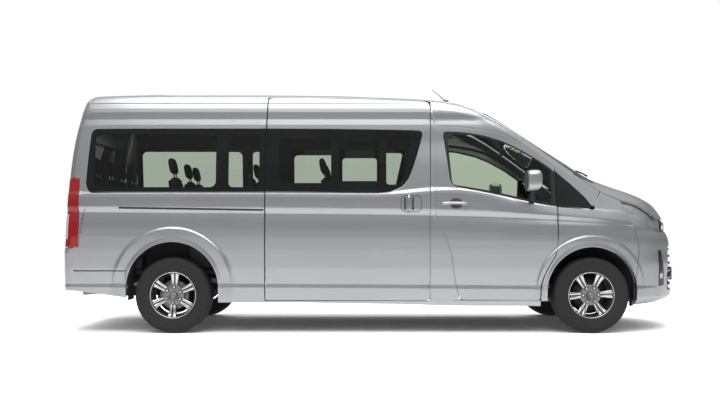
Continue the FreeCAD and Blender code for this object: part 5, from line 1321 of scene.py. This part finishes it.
def wheel(label, x, side, turn):
    """Tyre, barrel, six twin spokes with a groove down the middle, nuts, cap and the brake behind."""
    body_name = "wheel_" + label
    profile = TYRE_HALF + [(r, -w) for r, w in TYRE_HALF[::-1] if w > 0]
    tyre = turned_piece("tyre_skin_" + label, profile, x, side, TYRE, body_name, 160)
    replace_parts(tyre, "tyre_" + label)
    barrel = [(0.2155, 0.094), (0.214, 0.0975), (0.2075, 0.098), (0.2035, 0.09), (0.1985, 0.084), (0.196, 0.07),
              (0.193, 0.03), (0.185, -0.03), (0.196, -0.09), (0.212, -0.094), (0.2155, -0.09),
              (0.204, -0.083), (0.199, -0.03), (0.199, 0.04), (0.2035, 0.083)]
    rim = turned_piece("rim_barrel_" + label, barrel, x, side, RIM_DARK, body_name)
    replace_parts(rim, "rim_" + label)
    lip = [(0.205, 0.0905), (0.2075, 0.099), (0.212, 0.099), (0.215, 0.0965), (0.212, 0.094)]
    turned_piece("rim_lip_" + label, lip, x, side, RIM_BRIGHT, body_name)
    hub = [(0.0, 0.05), (0.06, 0.05), (0.096, 0.048), (0.098, 0.06), (0.094, 0.064), (0.084, 0.065),
           (0.06, 0.065),
           (0.034, 0.066), (0.032, 0.062), (0.0, 0.062)]
    surface("hub_face_" + label, lathe(hub, x, side, 96), HUB_GREY, body_name, wrap=(False, True))
    cap = [(0.0, 0.056), (0.03, 0.056), (0.031, 0.07), (0.0285, 0.0745), (0.0235, 0.0755), (0.0225, 0.0735),
           (0.0, 0.075)]
    surface("centre_cap_" + label, lathe(cap, x, side, 64), HUB_GREY, body_name, wrap=(False, True))

    # spokes: (share of the way out) against radius, half width and face height; the groove is 5 mm each side
    t = np.linspace(0, 1, 16)
    radius = 0.092 + 0.11 * t
    half_wide = 0.0235 + 0.015 * t + 0.06 * np.maximum(t - 0.8, 0) ** 1.5
    face = 0.0655 - 0.004 * np.sin(math.pi * t) + 0.02 * t ** 2.2
    groove = 0.0052 + 0.0008 * t
    bright, dark = [], []
    for k in range(6):
        for hand in (-1, 1):
            rows = []
            for across, drop in ((0, 0.014), (0.04, 0.0015), (0.09, 0.0), (0.93, 0.0), (1.0, 0.003)):
                rows.append((hand * (groove + (half_wide - groove) * across), face - drop))
            bright.append(facing(spoke_grid(radius, rows, turn + k * math.pi / 3, x, side), side))
            flank = [rows[-1], (rows[-1][0] * 1.02 + hand * 0.002, face - 0.02),
                     (rows[-1][0] * 0.96, face - 0.044)]
            dark.append(facing(spoke_grid(radius, flank, turn + k * math.pi / 3, x, side), side))
        floor_rows = [(-groove * 1.05, face - 0.0135), (groove * 1.05, face - 0.0135)]
        dark.append(facing(spoke_grid(radius, floor_rows, turn + k * math.pi / 3, x, side), side))
    build("spoke_faces_" + label, bright, RIM_BRIGHT, body_name)
    build("spoke_flanks_" + label, dark, RIM_DARK, body_name)

    nut = [(0.0, 0.056), (0.0118, 0.056), (0.0118, 0.073), (0.0095, 0.079), (0.0055, 0.082), (0.0, 0.0828)]
    seat = [(0.0125, 0.0668), (0.0175, 0.0662), (0.018, 0.064)]
    nuts, seats_round = [], []
    for k in range(6):
        angle = turn + k * math.pi / 3
        hole = np.array([x + NUT_RING * math.cos(angle), 0, NUT_RING * math.sin(angle)])
        nuts.append(facing(closed(lathe(nut, 0.0, side, 12)) + hole, side))
        seats_round.append(facing(closed(lathe(seat, 0.0, side, 24)) + hole, side))
    build("wheel_nuts_" + label, nuts, CHROME, body_name)
    build("nut_seats_" + label, seats_round, RIM_DARK, body_name)
    if x > 0:
        disc_profile = [(0.06, 0.012), (0.06, 0.03), (0.085, 0.03), (0.088, 0.012), (0.152, 0.012),
                        (0.152, -0.012),
                        (0.178, -0.02), (0.178, -0.024), (0.06, -0.02)]
    else:
        disc_profile = [(0.03, 0.034), (0.13, 0.034), (0.142, 0.024), (0.146, -0.03), (0.172, -0.036),
                        (0.172, -0.04),
                        (0.03, -0.04)]
    turned_piece("brake_" + label, disc_profile, x, side, BRAKE_STEEL, body_name, 96)


def spoke_grid(radius, rows, angle, x, side):
    """Rows of (offset across, height) along a spoke's radius, turned to its angle."""
    grid = []
    for across, height in rows:
        u, v = radius, np.broadcast_to(across, radius.shape)
        grid.append(np.stack([x + u * math.cos(angle) - v * math.sin(angle),
                              np.broadcast_to(side * (WHEEL_Y + height), radius.shape),
                              WHEEL_Z + u * math.sin(angle) + v * math.cos(angle)], -1))
    return np.stack(grid)


def facing(grid, side):
    """A grid's points and faces, turned to face out along the wheel's axis."""
    quads = quad_grid(*grid.shape[:2]).reshape(-1, 4)
    normal, _ = face_sums(grid.reshape(-1, 3), quads)
    return grid.reshape(-1, 3), quads if normal[:, 1].sum() * side > 0 else quads[:, ::-1]


for wheel_sizes in WHEELS:
    wheel(*wheel_sizes)

# ---------- mirrors, handles and rails


def egg(centre, sizes, power, rows=40, cols=64):
    """A rounded box: each coordinate is its half size times a signed power of the sphere's."""
    u = np.linspace(-math.pi / 2, math.pi / 2, rows)[:, None]
    v = np.arange(cols)[None] / cols * 2 * math.pi
    ball = np.stack(np.broadcast_arrays(np.cos(u) * np.cos(v), np.cos(u) * np.sin(v), np.sin(u)), -1)
    return np.array(centre) + np.array(sizes) * np.sign(ball) * np.abs(ball) ** power


def tube(path, radii, cols=20, squash=1.0):
    """A round tube along a path, its radius given at each point, with its ends drawn to a point."""
    p = path
    ahead = np.gradient(p, axis=0)
    ahead /= np.linalg.norm(ahead, axis=1, keepdims=True)
    up = np.array([0.0, 0.0, 1.0]) if abs(ahead[0, 2]) < 0.9 else np.array([1.0, 0.0, 0.0])
    side = np.cross(ahead, up)
    side /= np.linalg.norm(side, axis=1, keepdims=True)
    over = np.cross(side, ahead)
    angle = np.arange(cols) / cols * 2 * math.pi
    r = np.asarray(radii, float)[:, None, None]
    turn = np.cos(angle)[None, :, None] * side[:, None] + squash * np.sin(angle)[None, :, None] * over[:, None]
    rings = p[:, None] + r * turn
    return np.concatenate([np.broadcast_to(p[:1, None], (1, cols, 3)), rings,
                           np.broadcast_to(p[-1:, None], (1, cols, 3))])


def slab(name, centre, sizes, material, rides, slot, power=0.14, rows=24, cols=48, side="right"):
    """A box with rounded edges, mirrored for the left side."""
    box = mirrored(egg(centre, sizes, power, rows, cols), side)
    return surface(name, box, material, rides, wrap=(False, True))


def rod(name, path, radii, material, rides, cols=12, squash=1.0, side="right"):
    """A round rod along a path, mirrored for the left side."""
    bar = mirrored(tube(path, radii, cols, squash), side)
    return surface(name, bar, material, rides, wrap=(False, True))


def door_mirror(side):
    """The door mirror: a rounded housing on a foot, its glass facing back."""
    rides = "front_door_" + side
    shell = egg((1.376, -1.088, 1.402), (0.073, 0.098, 0.094), 0.55)
    shell[..., 0] -= 0.012 * (shell[..., 1] + 1.088) / 0.1
    shell[..., 2] += 0.1 * (shell[..., 0] - 1.376) * (shell[..., 2] < 1.402)
    back = 1.3185
    shell[..., 0] = np.maximum(shell[..., 0], back)
    piece = surface("mirror_shell_" + side, mirrored(shell, side), PAINT, rides, wrap=(False, True))
    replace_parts(piece, "mirror_" + side)
    outline = box_line(-1.172, -1.004, 1.322, 1.482, 0.03)
    flat = disc(outline, (-1.088, 1.402), 120, 6)
    glass = np.stack([np.full(flat.shape[:2], back - 0.0015), flat[..., 0], flat[..., 1]], -1)
    surface("mirror_glass_" + side, mirrored(glass, side), CHROME, rides, away=(1.376, 0, 1.4))
    edge = ring(inset(outline, 0.006, 120), outline, (-1.088, 1.402), 120, 3)
    edge = np.stack([np.full(edge.shape[:2], back - 0.003), edge[..., 0], edge[..., 1]], -1)
    surface("mirror_rim_" + side, mirrored(edge, side), BLACK_PLASTIC, rides, away=(1.376, 0, 1.4))
    path = soft_line([(1.398, -0.922, 1.218), (1.396, -0.975, 1.232), (1.388, -1.02, 1.262),
                      (1.38, -1.045, 1.318)], 16)
    rod("mirror_foot_" + side, path, np.linspace(0.03, 0.02, 16), BLACK_PLASTIC, rides, 24, 0.7,
        side)


def patch(name, outline, centre, material, rides, side, lift, count=90, rows=8):
    """A rounded area on the side's skin, lifted off it."""
    points = sunk_grid(disc(outline, centre, count, rows), -lift)
    surface(name, mirrored(points, side), material, rides, away=(centre[0], 0, centre[1]))


def lifted_ends(base, at, stand, run):
    """A line on the right side drawn outwards to a stand-off, its ends curving back to the skin over a run."""
    rise = stand * np.clip(np.minimum(at - at[0], at[-1] - at) / run, 0, 1) ** 0.6 + 0.002
    return base + np.array([0, -1.0, 0]) * rise[:, None]


def handles(side):
    """Pull handles: the front door's level bar over a cup of painted shade, and the sliding door's upright one,
    with a ring of painted shade round its cup and strips of painted shade beside it.
    """
    rides = "front_door_" + side
    cup = box_line(0.64, 0.752, 1.15, 1.246, 0.045)
    flat = ring(cup, box_line(0.634, 0.758, 1.144, 1.252, 0.05), (0.696, 1.198), 90, 3)
    surface("handle_cup_edge_" + side, mirrored(sunk_grid(flat, -0.0006), side), PAINT, rides,
            away=(0.7, 0, 1.2))
    # the cup is painted shade: dark paint for the shade in the recess
    patch("handle_cup_" + side, cup, (0.696, 1.198), SHADOW_PAINT, rides, side, 0.0008)
    x = np.linspace(0.556, 0.802, 30)
    base = from_side(np.stack([x, 1.196 + 0.004 * np.sin((x - 0.556) / 0.246 * math.pi)], -1))
    thick = 0.0135 * np.clip(np.minimum(x - 0.545, 0.813 - x) / 0.02, 0.4, 1)
    rod("handle_bar_" + side, lifted_ends(base, x, 0.03, 0.03), thick, PAINT, rides, 18, side=side)
    if side == "left":
        return
    cup = box_line(0.192, 0.372, 1.125, 1.268, 0.04)
    flat = ring(cup, box_line(0.186, 0.378, 1.119, 1.274, 0.045), (0.282, 1.196), 90, 3)
    # a ring of painted shade round the sliding door's cup
    surface("slide_cup_edge", sunk_grid(flat, -0.0012), SHADOW_PAINT, "body", away=(0.3, 0, 1.2))
    patch("slide_cup", cup, (0.282, 1.196), PAINT, "body", side, 0.0014)
    z = np.linspace(1.122, 1.271, 24)
    base = from_side(np.stack([np.full(24, 0.262), z], -1))
    rod("slide_handle_bar", lifted_ends(base, z, 0.026, 0.025), np.full(24, 0.012), PAINT, "body", 18)
    # two strips of painted shade beside the bar
    for name, x0 in (("slide_handle_shade_front", 0.3), ("slide_handle_shade_rear", 0.226)):
        outline = box_line(x0 - 0.01, x0 + 0.01, 1.135, 1.258, 0.009)
        patch(name, outline, (x0, 1.196), SHADOW_PAINT, "body", side, 0.002, 60, 4)


def slide_rail():
    """The sliding door's rail in the rear quarter: a black strip, painted shade for the slot's depth, between two
    fine lips.
    """
    # the slot is a flat black strip over the lips: painted shade standing for its depth
    for name, half_high, material, lift in (("rail_lips", 0.0125, PAINT, 0.0022),
                                            ("rail_slot", 0.0075, BLACK_PLASTIC, 0.0028)):
        line = along([(-2.402, 1.158), (-1.075, 1.138)], 90)
        grid = sunk_grid(np.stack([line + [0, half_high * k] for k in np.linspace(-1, 1, 5)]), -lift)
        surface(name, folded(grid, outward(grid), radius=0.001, depth=0.002), material, "body",
                away=(-1.7, 0, 1.1))


for hand in SIDES:
    door_mirror(hand)
    handles(hand)
slide_rail()

# ---------- seats

SEAT_TOP = 1.0                              # of the pad, above the ground
SEATS = [("driver", 0.4775, 0.43, 0.5), ("front_passenger", 0.4775, -0.43, 0.5)]
SEATS += [("row_%d_seat_%d" % (row + 2, place + 1), -0.4325 - 0.72 * row, y, 0.43)
          for row in range(3) for place, y in enumerate((-0.6, 0.14, 0.6))]
SEATS += [("row_5_seat_%d" % (place + 1), -2.5925, y, 0.42) for place,
          y in enumerate((-0.645, -0.215, 0.215, 0.645))]
LEAN = math.radians(12)


def leaning(points):
    """Points of a seat's upright back, leaned about the pad's rear upper edge."""
    x, y, z = points[..., 0], points[..., 1], points[..., 2]
    return np.stack([x * math.cos(LEAN) - z * math.sin(LEAN), y, x * math.sin(LEAN) + z * math.cos(LEAN)], -1)


def seat_shapes():
    """Pad, back and headrest before they are filled: rounded boxes, the back narrower at its top."""
    pad = egg((0.214, 0, -0.059), (0.202, 0.196, 0.04), 0.34, 60, 90)
    back = egg((0.012, 0, 0.185), (0.034, 0.196, 0.29), 0.36, 70, 90)
    back[..., 1] *= 1 - 0.2 * ease(back[..., 2], 0.1, 0.5)
    back[..., 0] -= 0.016 * np.sin(np.clip(back[..., 2] / 0.45, 0, 1) * math.pi)
    head = egg((0.012, 0, 0.575), (0.028, 0.112, 0.076), 0.52, 40, 60)
    head[..., 1] *= 1 - 0.1 * ease(head[..., 2], 0.52, 0.66)
    return [("cushion", pad), ("back", back), ("headrest", head)]


def evaluated(piece):
    """A piece's vertices and faces after its modifiers."""
    graph = bpy.context.evaluated_depsgraph_get()
    made_mesh = piece.evaluated_get(graph).to_mesh()
    points = np.empty(len(made_mesh.vertices) * 3)
    made_mesh.vertices.foreach_get("co", points)
    faces = [tuple(face.vertices) for face in made_mesh.polygons]
    piece.evaluated_get(graph).to_mesh_clear()
    return points.reshape(-1, 3), faces


def plain_piece(name, points, faces):
    """An object from a list of points and faces, with nothing else."""
    mesh = bpy.data.meshes.new(name)
    mesh.from_pydata(points, [], faces)
    piece = bpy.data.objects.new(name, mesh)
    bpy.context.scene.collection.objects.link(piece)
    return piece


VOXEL, COARSE_VOXEL = 0.01, 0.016            # of the even mesh that is blown up
FILL_PRESSURE, FILL_FRAMES = 4.0, 20
FILL_CAP = 0.012                              # the furthest that a point moves


def filled(grid):
    """A closed shape remeshed evenly, then blown up as cloth, no point moving further than a cap."""
    rows, cols = grid.shape[:2]
    ring_points = grid[1:-1].reshape(-1, 3)
    points = np.concatenate([ring_points, grid[:1, 0], grid[-1:, 0]])
    index = np.arange((rows - 2) * cols).reshape(rows - 2, cols)
    after = np.roll(index, -1, axis=1)
    quads = np.stack([index[:-1], after[:-1], after[1:], index[1:]], -1).reshape(-1, 4).tolist()
    low, high = len(points) - 2, len(points) - 1
    quads += [(low, after[0, k], index[0, k]) for k in range(cols)]
    quads += [(high, index[-1, k], after[-1, k]) for k in range(cols)]
    piece = plain_piece("scratch", points.tolist(), quads)
    even = piece.modifiers.new("even", "REMESH")
    even.mode = "VOXEL"
    even.voxel_size = VOXEL
    points, faces = evaluated(piece)
    bpy.data.objects.remove(piece)
    piece = plain_piece("scratch", points.tolist(), faces)
    cloth = piece.modifiers.new("cloth", "CLOTH")
    cloth.settings.use_pressure = True
    cloth.settings.uniform_pressure_force = FILL_PRESSURE
    cloth.settings.effector_weights.gravity = 0.0
    cloth.settings.quality = 5
    cloth.point_cache.frame_start, cloth.point_cache.frame_end = 1, FILL_FRAMES
    for frame_number in range(1, FILL_FRAMES + 1):
        bpy.context.scene.frame_set(frame_number)
    swollen, faces = evaluated(piece)
    bpy.data.objects.remove(piece)
    bpy.context.scene.frame_set(1)
    move = swollen - points
    far = np.linalg.norm(move, axis=1, keepdims=True)
    return points + move * np.minimum(1, FILL_CAP / np.maximum(far, 1e-9)), faces


def channel(value, centre, width):
    """1 at a centre, falling off either side as a bell of a width."""
    return np.exp(-((value - centre) / width) ** 2)


def sewn(kind, points):
    """The sewn channels: two between the middle and the side bolsters, and level ones across the middle."""
    x, y, z = points.T
    middle = 1 - ease(np.abs(y), 0.12, 0.132)
    if kind == "cushion":
        face = ease(z, -0.055, -0.03)
        dent = channel(np.abs(y), 0.128, 0.007) * (1 - ease(x, 0.36, 0.4))
        dent = np.maximum(dent, middle * np.maximum(channel(x, 0.13, 0.007), channel(x, 0.27, 0.007)))
        rise = 0.01 * ease(np.abs(y), 0.135, 0.175) * (1 - ease(np.abs(y), 0.19, 0.21))
        points[:, 2] += face * (rise - 0.009 * dent)
        points[:, 2] = np.clip(points[:, 2], -0.109, -0.001)
    if kind == "back":
        face = ease(x, 0.01, 0.03)
        dent = channel(np.abs(y), 0.128 - 0.02 * ease(z, 0.1, 0.5), 0.007) * (1 - ease(z, 0.4, 0.44))
        levels = np.maximum(channel(z, 0.13, 0.007), np.maximum(channel(z, 0.27, 0.007), channel(z, 0.41, 0.007)))
        dent = np.maximum(dent, middle * levels)
        points[:, 0] -= face * 0.009 * dent
        points[:, 0] = np.clip(points[:, 0], -0.0395, 0.0595)
    return points


def seats():
    """Fifteen seats: filled pad, back and headrest, two posts, a moulded shell, a tray and a base."""
    shapes = [(kind, *filled(grid)) for kind, grid in seat_shapes()]
    shapes = [(kind, sewn(kind, points), faces) for kind, points, faces in shapes]
    for seat_name, x, y, width in SEATS:
        place = np.array([x, y, SEAT_TOP])
        scale = np.array([1.0, width / 0.43, 1.0])
        for kind, points, faces in shapes:
            own = points * (scale if kind != "headrest" else 1.0)
            own = (own if kind == "cushion" else leaning(own)) + place
            name = "%s_%s" % (seat_name, kind)
            piece = made[name] = plain_piece(name, own.tolist(), faces)
            piece.data.polygons.foreach_set("use_smooth", np.full(len(piece.data.polygons), True))
            piece.data.materials.append(SEAT_CLOTH if kind != "headrest" else SEAT_EDGE)
            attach(piece, "body")
        for side in (-1, 1):
            post = np.stack([np.full(12, 0.012), np.full(12, 0.055 * side), np.linspace(0.44, 0.53, 12)], -1)
            rod("%s_post_%s" % (seat_name, "left" if side > 0 else "right"), leaning(post) + place,
                np.full(12, 0.006), CHROME, "body")
        half = width / 2
        for part, centre, sizes, how in (("_base", (x + 0.215, y, 0.735), (0.15, half - 0.065, 0.14),
                                          (0.16, 20, 40)),
                                         ("_tray", (x + 0.212, y, 0.893), (0.205, half - 0.004, 0.012),
                                          (0.2, 16, 48))):
            slab(seat_name + part, centre, sizes, DARK_TRIM, "body", "interior_plastic", *how)
        shell = egg((-0.028, 0, 0.175), (0.011, half - 0.004, 0.27), 0.3, 24, 48)
        shell[..., 1] *= 1 - 0.2 * ease(shell[..., 2], 0.1, 0.46)
        surface(seat_name + "_shell", leaning(shell) + place, DARK_TRIM, "body",
                wrap=(False, True))


seats()
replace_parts(made["driver_cushion"], "seats")

# ---------- finishes of the parts left as they are

LEFT_AS_MADE = {
    "floor": FLOOR_MAT, "arch_liners": LINER, "chassis_frame": CHASSIS, "engine": CAST, "prop_shaft": CHASSIS,
    "rear_axle": CAST, "leaf_springs": CHASSIS, "fuel_tank": LINER, "exhaust": EXHAUST, "knuckle_right": CAST,
    "knuckle_left": CAST, "front_subframe": CHASSIS, "front_arms": CAST, "spare_wheel": TYRE, "dashboard": TRIM,
    "steering_wheel": DARK_TRIM, "antenna": BLACK_PLASTIC, "cowl_panel": BLACK_PLASTIC,
}
for cad_node, finish in LEFT_AS_MADE.items():
    if cad_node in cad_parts:
        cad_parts[cad_node].data.materials.clear()
        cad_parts[cad_node].data.materials.append(finish)

# ---------- small parts outside

mast = soft_line([(0.629, -0.6, 2.196), (0.566, -0.6, 2.25), (0.504, -0.6, 2.302)], 24)
taper = np.interp(np.linspace(0, 1, 24), [0, 0.5, 1], [0.0042, 0.003, 0.002])
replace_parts(rod("antenna_rod", mast, taper, BLACK_PLASTIC, "body"), "antenna")
slab("antenna_foot", (0.636, -0.6, 2.19), (0.026, 0.014, 0.012), BLACK_PLASTIC, "body", "black_trim", 0.7)

BEADS = [("rear", -1.5, [(-2.65, 1.29), (SLIDE_BACK - SEAM, 1.29)]),
         ("slide", -0.5, [(SLIDE_BACK + SEAM, 1.29), (-0.06, 1.286), (0.065, 1.2945), (0.16, 1.323)])]
for hand in SIDES:
    for label, middle, points in BEADS:
        rise = 0.004 * np.sin(np.linspace(0, math.pi, 7))[:, None]
        base = from_side(np.stack([along(points, 120) + [0, k] for k in np.linspace(-0.0045, 0.0045, 7)]))
        raised = base + outward(base) * (rise[..., None] - 0.0008)
        surface("waist_bead_%s_%s" % (label, hand), mirrored(raised, hand), PAINT, "body",
                away=(middle, 0, 1.2))

# blank number plate
slab("front_plate", (2.951, 0.0, 0.52), (0.005, 0.19, 0.065), PLATE_WHITE, "body", "interior_plastic", 0.1)

# wipers, parked along the foot of the windscreen
for hand, start, end in (("right", -0.52, 0.06), ("left", 0.1, 0.62)):
    y = np.linspace(start, end, 16)
    blade_path = from_top(np.stack([1.985 - 0.1 * (y - start) * 0.35 - 0.05 * (np.abs(y) / 0.6) ** 2, y], -1))
    lifted = blade_path + outward(blade_path) * 0.011
    rod("wiper_blade_" + hand, lifted, np.full(16, 0.0065), BLACK_PLASTIC, "body", 8, 1.3)
    arm = from_top(np.stack([np.linspace(blade_path[8, 0], 2.045 - 0.05 * (start / 0.6) ** 2, 12),
                             np.linspace(blade_path[8, 1], start + 0.02, 12)], -1))
    arm = arm + outward(arm) * np.linspace(0.022, 0.014, 12)[:, None]
    rod("wiper_arm_" + hand, arm, np.linspace(0.006, 0.011, 12), BLACK_PLASTIC, "body", 10, 0.8)

# the dark dam under the front bumper and the mirror inside the windscreen
dam_y = np.linspace(-0.87, 0.87, 90)
dam_x = 2.49 - 0.165 * np.abs(dam_y / 0.87) ** 3
surface("air_dam", np.stack([np.stack([dam_x + lean, dam_y, np.full(90, height)], -1)
                             for lean, height in ((0.012, 0.3), (0.012, 0.252), (0.0, 0.244), (-0.012, 0.252),
                                                  (-0.012, 0.3))]), BLACK_PLASTIC, "body",
        away=(0, 0, 1.2))
# the upright lamp slots at the bumper's corners, each with a lamp low in it
for hand in SIDES:
    slot_edge = rounded([(2.628, 0.424, 0.012), (2.706, 0.43, 0.012), (2.706, 0.56, 0.02), (2.668, 0.765, 0.012),
                         (2.628, 0.765, 0.012)])
    for name, edge, count, rows, lift, material, slot in (
            ("lamp_slot_", slot_edge, 120, 8, 0.0015, GLOSS_BLACK, "black_trim"),
            ("fog_lamp_", box_line(2.644, 2.684, 0.52 - 0.024, 0.52 + 0.024, 0.012), 60, 5, 0.003, BOWL,
             "lamp_lens"),
            ("day_lamp_", box_line(2.644, 2.684, 0.64 - 0.07, 0.64 + 0.07, 0.012), 60, 5, 0.003, DARK_TRIM,
             "lamp_lens")):
        outline = turned(edge, *NOSE_AXIS)
        points = sunk_grid(disc(outline, outline.mean(0), count, rows), -lift, from_nose)
        surface(name + hand, mirrored(points, hand), material, "body", away=(2.0, 0, 0.6))
slab("cabin_mirror", (1.275, 0.0, 1.755), (0.016, 0.115, 0.034), DARK_TRIM, "body", "interior_plastic", 0.5)
rod("cabin_mirror_stalk", soft_line([(1.29, 0.0, 1.765), (1.33, 0.0, 1.79), (1.375, 0.0, 1.8)], 24),
    np.full(24, 0.007), DARK_TRIM, "body")

# ---------- inside of the doors

def trim_panel(name, outline, centre, rows, place, edge, rise, rides, side, away):
    """A moulded trim panel behind the skin: a depth at its edge, and further in over its middle."""
    points = place(disc(np.array(outline), centre, 160, rows))
    share = np.linspace(0, 1, rows)[:, None, None]
    points = points - outward(points) * (edge + rise * (1 - share ** 6))
    surface(name, mirrored(points, side), TRIM, rides, away=away)


def door_trim(side):
    """The front door's moulded trim, with an armrest, a pull and a pocket."""
    rides = "front_door_" + side
    outer = rounded([(0.6, 1.3, 0.05), (0.64, 0.9, 0.2), (0.76, 0.345, 0.06), (1.43, 0.345, 0.06),
                              (1.455, 0.5, 0.1), (1.56, 0.76, 0.08), (1.6, 1.15, 0.04)])
    trim_panel("door_trim_" + side, outer, (1.1, 0.8), 18, from_side, 0.016, 0.024, rides, side,
                 (1.1, -3.0 if side == "right" else 3.0, 0.8))
    slab("armrest_" + side, (1.1, -0.895, 0.985), (0.25, 0.022, 0.03), DARK_TRIM, rides, "interior_plastic", 0.5,
         side=side)
    pull = soft_line([(1.23, -0.9, 0.99), (1.24, -0.862, 1.04), (1.262, -0.862, 1.09), (1.275, -0.905, 1.13)], 20)
    rod("door_pull_" + side, pull, np.full(20, 0.011), DARK_TRIM, rides, 14, side=side)
    slab("door_pocket_" + side, (1.08, -0.9, 0.52), (0.28, 0.02, 0.07), DARK_TRIM, rides, "interior_plastic", 0.3,
         side=side)


for hand in SIDES:
    door_trim(hand)


gate_outline = rounded([(-0.66, 0.8, 0.05), (0.66, 0.8, 0.05), (0.68, 1.28, 0.05), (-0.68, 1.28, 0.05)])
trim_panel("tailgate_trim", gate_outline, (0.0, 1.04), 16, from_back, 0.02, 0.016, "tailgate", "right",
             (-6.0, 0.0, 1.0))

# ---------- what each piece stands for

STANDS_FOR = [
    ("roof_skin", "roof"), ("quarter_panel_right", "side_panel_right"), ("quarter_panel_left", "side_panel_left"),
    ("sliding_door_skin_right", "sliding_door"), ("wing_right", "front_wings"), ("bonnet_skin", "bonnet"),
    ("front_bumper_skin", "front_bumper"), ("rear_bumper_skin", "rear_bumper"),
    ("headlight_lens_right", "headlights"),
    ("tail_lamp_lens_right", "tail_lamps"), ("upper_grille_field", "grille"), ("tailgate_skin", "tailgate"),
    ("tailgate_pane", "tailgate_glass"), ("windscreen_pane", "windscreen"),
    ("band_panes_right", "side_windows"), ("door_pane_right", "front_door_glass_right"),
    ("door_pane_left", "front_door_glass_left"), ("front_door_skin_right", "front_door_right"),
    ("front_door_skin_left", "front_door_left"),
]
for piece, cad_node in STANDS_FOR:
    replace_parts(made[piece], cad_node)

# ---------- floor, light and camera


def ground():
    """A white floor: near the vehicle it takes light and shadow, and further out it runs into the backdrop."""
    piece = plain_piece("studio_floor", [(-60, -60, 0), (60, -60, 0), (60, 60, 0), (-60, 60, 0)], [(0, 1, 2, 3)])
    white, tree, skin = finish_start("studio_white")
    link = tree.links.new
    link(spread(tree, grain(tree, 0.4, 1.0), (0.76, 0.76, 0.76), (0.78, 0.78, 0.78)), skin.inputs["Base Color"])
    skin.inputs["Roughness"].default_value = 0.9
    near = node(tree, "ShaderNodeBsdfDiffuse", Color=(1.9, 1.9, 1.9, 1))
    plain = node(tree, "ShaderNodeEmission", Color=(1, 1, 1, 1), Strength=1.0)
    place = node(tree, "ShaderNodeTexCoord")
    away = node(tree, "ShaderNodeVectorMath")
    away.operation = "LENGTH"
    link(place.outputs["Object"], away.inputs[0])
    reach_out = node(tree, "ShaderNodeMapRange", From_Min=4.5, From_Max=8.0)
    link(away.outputs["Value"], reach_out.inputs["Value"])
    path = node(tree, "ShaderNodeLightPath")
    glow = node(tree, "ShaderNodeEmission", Color=(1, 1, 1, 1))
    dim_glow = node(tree, "ShaderNodeMath")
    dim_glow.operation = "MULTIPLY"
    dim_glow.inputs[1].default_value = 0.3
    link(path.outputs["Is Glossy Ray"], dim_glow.inputs[0])
    link(dim_glow.outputs[0], glow.inputs["Strength"])
    lit = node(tree, "ShaderNodeAddShader")
    link(skin.outputs[0], lit.inputs[0])
    link(glow.outputs[0], lit.inputs[1])
    seen = mixed(tree, reach_out.outputs["Result"], near, plain)
    pick = mixed(tree, path.outputs["Is Camera Ray"], lit, seen)
    link(pick.outputs[0], [n for n in tree.nodes if n.type == "OUTPUT_MATERIAL"][0].inputs[0])
    piece.data.materials.append(white)


ground()


def lamp(name, place, aim, size, power):
    """A soft rectangular studio lamp."""
    light = bpy.data.lights.new(name, "AREA")
    light.shape = "RECTANGLE"
    light.size, light.size_y = size
    light.energy = power
    piece = bpy.data.objects.new(name, light)
    bpy.context.scene.collection.objects.link(piece)
    piece.location = place
    piece.rotation_euler = (Vector(aim) - Vector(place)).to_track_quat("-Z", "Y").to_euler()


lamp("top_lamp", (0.0, -1.5, 7.5), (0.0, 0.0, 1.0), (9.0, 5.0), 380.0)
lamp("side_lamp", (-1.0, -7.5, 8.0), (0.0, 0.0, 1.0), (10.0, 3.0), 300.0)
lamp("back_lamp", (0.5, 7.0, 6.0), (0.0, 0.0, 1.0), (9.0, 3.0), 160.0)


def backdrop():
    """White behind the vehicle, and a quieter grey for what the paint and glass reflect and are lit by."""
    world = bpy.data.worlds.new("studio")
    bpy.context.scene.world = world
    world.use_nodes = True
    tree = world.node_tree
    tree.nodes.clear()
    link = tree.links.new
    path = node(tree, "ShaderNodeLightPath")
    way = node(tree, "ShaderNodeTexCoord")
    split = node(tree, "ShaderNodeSeparateXYZ")
    link(way.outputs["Generated"], split.inputs[0])
    height = node(tree, "ShaderNodeMapRange", From_Min=0.1, From_Max=0.75, To_Min=0.17, To_Max=0.62)
    link(split.outputs["Z"], height.inputs["Value"])
    level_seen = node(tree, "ShaderNodeMix", A=0.55)
    link(height.outputs["Result"], level_seen.inputs["B"])
    link(path.outputs["Is Glossy Ray"], level_seen.inputs["Factor"])
    white = node(tree, "ShaderNodeMix", B=1.0)
    link(level_seen.outputs["Result"], white.inputs["A"])
    link(path.outputs["Is Camera Ray"], white.inputs["Factor"])
    sky = node(tree, "ShaderNodeBackground", Color=(1, 1, 1, 1))
    link(white.outputs["Result"], sky.inputs["Strength"])
    link(sky.outputs[0], node(tree, "ShaderNodeOutputWorld").inputs[0])


backdrop()

view = bpy.data.cameras.new("camera")
view.lens = 43.6
view.sensor_width = 36.0
camera = bpy.data.objects.new("camera", view)
bpy.context.scene.collection.objects.link(camera)
camera.location = (-0.187, -8.975, 0.935)
camera.rotation_euler = (math.radians(90), 0, 0)
view.shift_y = 0.041
bpy.context.scene.camera = camera
bpy.context.scene.view_settings.view_transform = "Standard"
